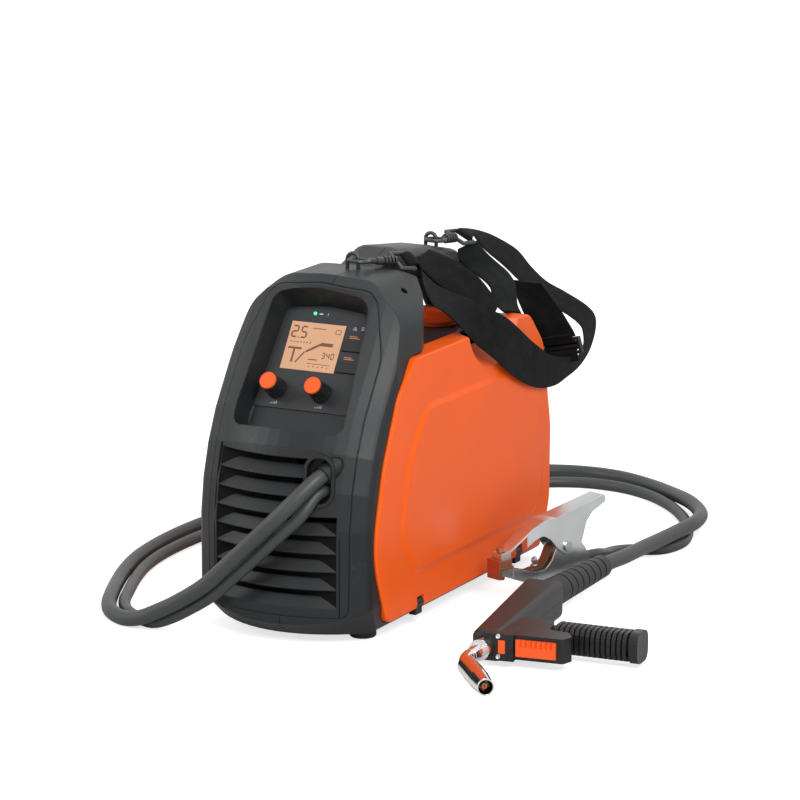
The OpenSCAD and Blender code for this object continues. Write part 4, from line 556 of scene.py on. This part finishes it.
middle_stations = [
    [(72, 194, 263), (34, 206, 261)], [(80, 200, 250), (42, 202, 249)],
    [(88, 205, 237), (50, 198, 237)], [(94, 207, 227), (56, 200, 224)],
    [(99, 208, 219), (61, 205, 213)], [(103, 207, 213), (65, 208, 204)]]
pad_stations = [
    [(29, 145, 308), (23, 118, 304)], [(36, 150, 297), (29, 110, 296)],
    [(41, 164, 285), (35, 115, 287)], [(47, 174, 275), (45, 120, 279)],
    [(54, 175, 265), (54, 122, 271)], [(60, 166, 256), (60, 117, 263)],
    [(65, 159, 247), (66, 114, 255)], [(72, 153, 241), (74, 111, 251)]]
webbing_thick = 0.0020
outer, outer_length, outer_width = band("outer_webbing", outer_stations, webbing_thick)
inner, inner_length, inner_width = band("inner_webbing", inner_stations, webbing_thick)
middle, middle_length, middle_width = band("middle_webbing", middle_stations, webbing_thick)
pad, _, _ = band("strap_pad", pad_stations, thick=0.0022, columns=16, steps=8, crown=0.0012)

# %% [markdown]
# ## Finishes of the strap
#
# Nylon webbing is matt, with a soft sheen at low angles and a clear rib. The pad's cloth is
# finer and a little greener. Both read the piece's own UV map, so the weave follows every
# bend of the band. Their colour is darker between the ribs: painted shade, mixed with faded
# patches that differ at random.


# %% Cloth finishes
def cloth_finish(name, dark, light, ribs, yarns, bump, sheen):
    """Woven cloth that follows the piece's UV map, in centimetres, with painted shade between its
    ribs.
    """
    rib_shade_share, faded_share = 0.7, 0.3
    material = bpy.data.materials.new(name)
    material.use_nodes = True
    tree = material.node_tree
    shader = tree.nodes["Principled BSDF"]
    uv = tree.nodes.new("ShaderNodeTexCoord").outputs["UV"]
    woven = add(tree, "ShaderNodeGroup", node_tree=weave)
    woven.inputs["Ribs"].default_value = ribs
    woven.inputs["Yarns"].default_value = yarns
    tree.links.new(uv, woven.inputs["UV"])
    faded = ramp(tree, noise(tree, uv, 0.7, 3.0), 0.35, 0.75)
    # The dark colour between the ribs is painted shade; the faded patches are wear that differs at
    # random.
    rib_shade_and_fading = math_node(tree, "MULTIPLY", woven.outputs["Painted Rib Shade"], rib_shade_share)
    rib_shade_and_fading = math_node(tree, "ADD", rib_shade_and_fading, math_node(tree, "MULTIPLY", faded, faded_share))
    tree.links.new(mix(tree, rib_shade_and_fading, dark, light), shader.inputs["Base Color"])
    shader.inputs["Roughness"].default_value = 0.75
    shader.inputs["Specular IOR Level"].default_value = 0.08
    shader.inputs["Sheen Weight"].default_value = sheen
    shader.inputs["Sheen Roughness"].default_value = 0.4
    dimple = tree.nodes.new("ShaderNodeBump")
    dimple.inputs["Strength"].default_value = bump
    dimple.inputs["Distance"].default_value = 0.0005
    tree.links.new(woven.outputs["Height"], dimple.inputs["Height"])
    tree.links.new(dimple.outputs["Normal"], shader.inputs["Normal"])
    return material


# Dark is the painted shade between the ribs, light the rib tops and the faded patches.
finishes["webbing"] = cloth_finish("webbing", (0.001, 0.001, 0.0012), (0.020, 0.020, 0.021),
                                   ribs=4.0, yarns=5.0, bump=1.0, sheen=0.02)
finishes["pad"] = cloth_finish("pad", (0.003, 0.004, 0.004), (0.012, 0.014, 0.0135),
                               ribs=9.0, yarns=9.0, bump=0.6, sheen=0.02)
for piece in (outer, inner, middle):
    piece.data.materials.append(finishes["webbing"])
pad.data.materials.append(finishes["pad"])
for piece, replaced in ((outer, "strap_webbing"), (pad, "shoulder_pad"),
                        (inner, "strap_webbing"), (middle, "strap_webbing")):
    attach(piece, "case")
    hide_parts(replaced)

# %% [markdown]
# ## Webbing through the slider
#
# A ladder slider holds the strap's length: the webbing goes up through one slot, over the
# bar between them, and down through the other. The fold lies in the slider's own frame,
# which is turned in space, so its stations are written there and then turned with it.

# %% Fold in the slider
slider_middle = Vector((86, 208.5, 200))
fold_half_width = 19
slider_turn = (Matrix.Rotation(math.radians(-2), 3, "Z")
               @ Matrix.Rotation(math.radians(-13), 3, "Y")
               @ Matrix.Rotation(math.radians(7), 3, "X"))
fold_line = [(-7.2, 13), (-4.4, 7.5), (-3.4, 4.4), (0, 3.4), (3.9, 3.2), (4.6, 0), (3.9, -3.2),
             (0, -3.4), (-3.4, -4.4), (-4.2, -8.5), (-5.2, -14)]
fold_stations = []
for out, up in fold_line:
    ends = [slider_middle + slider_turn @ Vector((side * fold_half_width, out, up))
            for side in (1, -1)]
    fold_stations.append([tuple(end) for end in ends])
fold, fold_length, fold_width = band("slider_fold", fold_stations, thick=0.0016)
fold.data.materials.append(finishes["webbing"])
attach(fold, "case")
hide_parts("strap_webbing")

# %% [markdown]
# ## Small parts on the gun and the clamp
#
# The gun's front block has an orange insert between two small screws. In the clamp's throat
# a copper braid leads the current round the pivot, and a screw with a pin on it holds it.
# Each screw is a cylinder whose top is bevelled, then inset and pressed in for its socket. A
# ray finds the surface of the gun's shell, so that its parts sit on it.


# %% Finding a surface, and a small screw
def surface(names, start, direction):
    """The first point of some CAD nodes that a ray meets, and the normal there."""
    found = []
    for name in names:
        hit, place, normal, _ = nodes[name].ray_cast(start, direction)
        if hit:
            found.append(((place - start).length, place, normal))
    return min(found)[1:] if found else (start, -direction)


def screw(name, place, normal, radius, height, finish):
    """A pan-head screw that stands on a surface, with a pressed socket."""
    rounding, rim, socket_depth, sunk = height * 0.3, radius * 0.3, height * 0.5, 0.0002
    bpy.ops.object.select_all(action="DESELECT")
    bpy.ops.mesh.primitive_cylinder_add(vertices=24, radius=radius, depth=height,
                                        location=(0, 0, height / 2))
    made = bpy.context.active_object
    made.name = name
    bpy.ops.object.transform_apply(location=True)
    for face in made.data.polygons:
        face.select = face.normal.z > 0.9
    bpy.ops.object.mode_set(mode="EDIT")
    bpy.ops.mesh.bevel(offset=rounding, segments=2, affect="EDGES")
    bpy.ops.mesh.select_all(action="DESELECT")
    bpy.ops.object.mode_set(mode="OBJECT")
    for face in made.data.polygons:
        face.select = face.normal.z > 0.99 and face.center.z > height * 0.9
    bpy.ops.object.mode_set(mode="EDIT")
    bpy.ops.mesh.inset(thickness=rim)
    bpy.ops.transform.translate(value=(0, 0, -socket_depth))
    bpy.ops.object.mode_set(mode="OBJECT")
    turn = normal.to_track_quat("Z", "Y").to_matrix().to_4x4()
    made.data.transform(Matrix.Translation(place - normal * sunk) @ turn)
    bpy.ops.object.shade_smooth_by_angle(angle=math.radians(35))
    made.data.materials.append(finish)
    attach(made, "case")
    return made


# %% Front block of the gun
gun_forward = Vector((0.1513, -0.9885, 0))
gun_across = Vector((0.9885, 0.1513, 0))
trigger_low, trigger_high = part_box("gun_trigger")
trigger_middle = (trigger_low + trigger_high) / 2
gun_shells = ["gun_upper_shell", "gun_lower_shell"]
well_in_front = 0.05


def on_block(across, up):
    """A point of the gun's front face, placed from the trigger's middle, in metres."""
    beside = trigger_middle + gun_across * across + Vector((0, 0, up))
    return surface(gun_shells, beside + gun_forward * well_in_front, -gun_forward)


insert_across, insert_size = -0.0305, (0.0062, 0.012, 0.0016)
insert_place, insert_normal = on_block(insert_across, 0.0)
print("insert on", [round(v, 4) for v in insert_place], [round(v, 2) for v in insert_normal])
bpy.ops.object.select_all(action="DESELECT")
bpy.ops.mesh.primitive_cube_add(size=1, location=(0, 0, 0))
insert = bpy.context.active_object
insert.name = "gun_insert"
bpy.ops.transform.resize(value=insert_size)
bpy.ops.object.transform_apply(scale=True)
bpy.ops.object.mode_set(mode="EDIT")
bpy.ops.mesh.bevel(offset=0.0005, segments=2, affect="EDGES")
bpy.ops.object.mode_set(mode="OBJECT")
insert_turn = Matrix((gun_across, Vector((0, 0, 1)), gun_forward)).transposed().to_4x4()
insert.data.transform(Matrix.Translation(insert_place) @ insert_turn)
insert.data.materials.append(finishes["orange_plastic"])
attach(insert, "case")
gun_screw_across = -0.0335
for name, up in (("gun_screw_upper", 0.0095), ("gun_screw_lower", -0.0088)):
    place, _ = on_block(gun_screw_across, up)
    screw(name, place, gun_forward, radius=0.0021, height=0.0012, finish=finishes["zinc"])

# %% Braid and screw in the clamp's throat
clamp_at = Vector((0.121, 0.020, 0))
clamp_angle = math.radians(70)
clamp_along = Vector((math.cos(clamp_angle), math.sin(clamp_angle), 0))
clamp_side = Vector((-clamp_along.y, clamp_along.x, 0))
straight_up = Vector((0, 0, 1))


def clamp_place(along, side, up):
    """A place in the clamp's own directions, given in millimetres, as a point in metres."""
    level = (clamp_along * along + clamp_side * side) / 1000
    return clamp_at + level + Vector((0, 0, up / 1000))


braid_line = [(16, 21.6), (24, 24.4), (34, 26.4), (43, 26.6), (49.4, 31.4), (53.5, 38),
              (57.2, 44.5)]
braid_half_width = 4.6
braid_stations = [[tuple(clamp_place(along, side, up) * 1000)
                   for side in (braid_half_width, -braid_half_width)]
                  for along, up in braid_line]
braid, _, _ = band("clamp_braid", braid_stations, thick=0.0016, columns=8, steps=6)
# The braid's copper colour is darker between its strands: painted shade.
finishes["braid"] = cloth_finish("braid", (0.10, 0.035, 0.018), (0.42, 0.17, 0.09),
                                 ribs=12.0, yarns=12.0, bump=0.8, sheen=0.0)
braid.data.materials.append(finishes["braid"])
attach(braid, "case")
throat_along = 38
for name, up, radius, height in (("throat_screw", 27.4, 0.0036, 0.0026),
                                 ("throat_pin", 29.8, 0.0019, 0.0075)):
    place = clamp_place(throat_along, 0, up)
    screw(name, place, straight_up, radius, height, finish=finishes["zinc"])

# %% [markdown]
# ## Marks on the control panel
#
# The display shows two readings, rows of short bars and a small drawing of a weld joint.
# Each mark is a thin plate on the sloped panel. One cube with bevelled edges is modelled,
# and copies of it are flattened, stretched and laid where they belong, like printed film.

# %% One plate, and the panel's slope
bpy.ops.object.select_all(action="DESELECT")
bpy.ops.mesh.primitive_cube_add(size=1, location=(0, 0, 0))
plate = bpy.context.active_object
plate.name = "plate"
bpy.ops.object.mode_set(mode="EDIT")
bpy.ops.mesh.bevel(offset=0.04, segments=1, affect="EDGES")
bpy.ops.object.mode_set(mode="OBJECT")
panel_origin = Vector((0, -0.144, 0.199))
panel_up = Vector((0, 0.5446, 0.8387))
panel_out = Vector((0, -0.8387, 0.5446))


def face_height(node):
    """How far a node's outermost point stands from the panel's own plane."""
    return max((v.co - panel_origin).dot(panel_out) for v in nodes[node].data.vertices)


window_face = face_height("display_window")
print("window face", round(window_face * 1000, 3), "mm")


def strip(a, b, width, lift, thick=0.00012):
    """A thin plate from a to b, two places (across, up) on the panel in millimetres."""
    start = panel_origin + Vector((a[0] / 1000, 0, 0)) + panel_up * a[1] / 1000
    end = panel_origin + Vector((b[0] / 1000, 0, 0)) + panel_up * b[1] / 1000
    run = end - start
    along = run.normalized()
    side = panel_out.cross(along)
    turn = Matrix((along * run.length, side * width / 1000, panel_out * thick)).transposed()
    made = plate.copy()
    made.data = plate.data.copy()
    place = (start + end) / 2 + panel_out * (lift + thick / 2)
    made.data.transform(Matrix.Translation(place) @ turn.to_4x4())
    bpy.context.scene.collection.objects.link(made)
    return made


def joined(name, pieces, finish, body):
    """Several small pieces made one, on a body."""
    bpy.ops.object.select_all(action="DESELECT")
    for piece in pieces:
        piece.select_set(True)
    bpy.context.view_layer.objects.active = pieces[0]
    bpy.ops.object.join()
    made = bpy.context.active_object
    made.name = name
    made.data.materials.clear()
    made.data.materials.append(finish)
    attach(made, body)
    print(name, "faces", len(made.data.polygons))
    return made


# %% Readings on the display
segment_ends = {
    "a": ((0, 2), (1, 2)), "b": ((1, 1), (1, 2)), "c": ((1, 0), (1, 1)), "d": ((0, 0), (1, 0)),
    "e": ((0, 0), (0, 1)), "f": ((0, 1), (0, 2)), "g": ((0, 1), (1, 1))}
digit_segments = {"2": "abged", "5": "afgcd", "3": "abgcd", "4": "fgbc", "0": "abcdef"}


def digit(value, left, bottom, wide, half_tall, stroke):
    """One digit of seven segments, with a small gap where they meet."""
    pieces = []
    for letter in digit_segments[value]:
        (x0, y0), (x1, y1) = segment_ends[letter]
        a = Vector((left + x0 * wide, bottom + y0 * half_tall))
        b = Vector((left + x1 * wide, bottom + y1 * half_tall))
        gap = (b - a).normalized() * stroke * 0.3
        pieces.append(strip(a + gap, b - gap, stroke, window_face))
    return pieces


def row(count, left, step, length, up, width):
    """A level row of short bars on the display."""
    return [strip((left + i * step, up), (left + length + i * step, up), width, window_face)
            for i in range(count)]


large_digit = {"wide": 5.2, "half_tall": 5.2, "stroke": 1.5}
small_digit = {"wide": 2.6, "half_tall": 2.6, "stroke": 0.8}
dark_marks = digit("2", -28.5, 69, **large_digit) + digit("5", -19.5, 69, **large_digit)
dark_marks += [strip((-21.9, 68.6), (-20.9, 68.6), 1.2, window_face)]
for value, left in (("3", 7), ("4", 11.5), ("0", 16)):
    dark_marks += digit(value, left, 51, **small_digit)
dark_marks += row(8, left=-9, step=1.7, length=1, up=78.5, width=1.1)
dark_marks += row(7, left=-28, step=3.2, length=1.7, up=64.5, width=0.8)
dark_marks += [strip((-28.5, 58.5), (-15, 58.5), 1.9, window_face),
               strip((-22, 45), (-22, 57.5), 1.9, window_face),
               strip((-18, 45), (-11, 56), 1.3, window_face),
               strip((-10, 56), (3, 64), 2.0, window_face),
               strip((3, 64), (15, 64), 3.2, window_face),
               strip((-6, 45), (17, 45), 0.5, window_face),
               strip((-6, 49), (3, 49), 0.9, window_face)]
dark_marks += row(5, left=-4, step=4.5, length=1.4, up=42.6, width=0.8)
dark_marks += [strip((14.5, 79), (19.5, 79), 0.5, window_face),
               strip((14.5, 75), (19.5, 75), 0.5, window_face),
               strip((14.5, 75), (14.5, 79), 0.5, window_face),
               strip((19.5, 75), (19.5, 79), 0.5, window_face)]
display_ink = hard_finish("display_ink", (0.16, 0.055, 0.022), 0.3, bump=0.02, wear=0.0)
joined("display_marks", dark_marks, display_ink, "case")

# %% [markdown]
# ## Printed marks on the face plate
#
# Beside the display, two keys have a dim amber label each. Small white signs stand above
# them, and each dial has a growing wedge of ticks under it, which says "more" without words.

# %% White and amber marks
plate_face = face_height("control_panel")
print_lift = plate_face - 0.0001  # most of a mark's thickness lies in the plate
white_marks = []
for i in range(3):
    up = 81.2 + i * 1.1
    white_marks.append(strip((29.6 + i * 0.55, up), (33.8 - i * 0.55, up), 0.5, print_lift))
for i in range(3):
    up = 81.6 + i * 1.4
    white_marks.append(strip((38, up), (41.4, up), 0.7, print_lift))
white_marks += [strip((-7.5, 92.9), (-3.5, 92.9), 1.1, print_lift),
                strip((1.5, 91.6), (1.5, 94.2), 0.5, print_lift)]
for centre in (-28.3, 16.5):
    for i in range(5):
        across, tall = centre - 3 + i * 1.5, 0.8 + i * 0.45
        white_marks.append(strip((across, 4.6), (across, 4.6 + tall), 0.55, print_lift))
print_white = hard_finish("print_white", (0.62, 0.62, 0.60), 0.5, bump=0.05, wear=0.1)
joined("panel_marks", white_marks, print_white, "case")
amber_marks = []
for bottom in (64.6, 44.4):
    for i in range(2):
        up = bottom + 8.6 + i * 1.6
        amber_marks.append(strip((28.5, up), (39 - i * 3, up), 0.8, print_lift))
print_amber = hard_finish("print_amber", (0.62, 0.22, 0.07), 0.5, bump=0.05, wear=0.1)
joined("key_labels", amber_marks, print_amber, "case")
bpy.data.objects.remove(plate)

# %% [markdown]
# ## Floor, lamps and surroundings
#
# A catalogue picture has a white ground and an even, soft light. The floor and the world
# are plain white to the camera, while the lamps stay at a level at which a colour renders
# about as it is written. The floor adds a little of its own light only for the camera, so
# the shadows on it stay pale.

# %% Floor
floor_grey, floor_glow = 0.75, 0.72
bpy.ops.object.select_all(action="DESELECT")
bpy.ops.mesh.primitive_plane_add(size=40, location=(0, 0, 0))
floor = bpy.context.active_object
floor.name = "floor"
floor_finish = bpy.data.materials.new("floor")
floor_finish.use_nodes = True
tree = floor_finish.node_tree
shader = tree.nodes["Principled BSDF"]
shader.inputs["Base Color"].default_value = (floor_grey, floor_grey, floor_grey, 1)
shader.inputs["Roughness"].default_value = 0.9
shader.inputs["Specular IOR Level"].default_value = 0.1
shader.inputs["Emission Color"].default_value = (1, 1, 1, 1)
seen = tree.nodes.new("ShaderNodeLightPath").outputs["Is Camera Ray"]
glow = math_node(tree, "MULTIPLY", seen, floor_glow)
tree.links.new(glow, shader.inputs["Emission Strength"])
floor.data.materials.append(floor_finish)

# %% World
light_on_object, white_to_camera = (0.36, 0.36, 0.37), (1.0, 1.0, 1.0)
world = bpy.data.worlds.new("studio")
bpy.context.scene.world = world
world.use_nodes = True
tree = world.node_tree
sky = tree.nodes["Background"]
path = tree.nodes.new("ShaderNodeLightPath")
direct = math_node(tree, "MAXIMUM", path.outputs["Is Camera Ray"],
                   path.outputs["Is Transmission Ray"])
direct = math_node(tree, "MAXIMUM", direct, path.outputs["Is Glossy Ray"])
tree.links.new(mix(tree, direct, light_on_object, white_to_camera), sky.inputs["Color"])
sky.inputs["Strength"].default_value = 1.0


# %% Lamps
aim_at = Vector((0, 0.05, 0.12))


def lamp(name, place, power, size):
    """A square lamp that looks at the middle of the machine."""
    data = bpy.data.lights.new(name, "AREA")
    data.energy = power
    data.size = size
    made = bpy.data.objects.new(name, data)
    made.location = place
    aim = aim_at - Vector(place)
    made.rotation_euler = aim.to_track_quat("-Z", "Y").to_euler()
    bpy.context.scene.collection.objects.link(made)
    print(name, power, "W")


lamp("key", (1.7, -1.7, 1.8), power=57, size=1.2)
lamp("fill", (-1.9, -1.5, 1.3), power=16, size=1.2)
lamp("top", (0.1, 0.8, 2.3), power=12, size=1.6)
bpy.context.scene.view_settings.view_transform = "Standard"
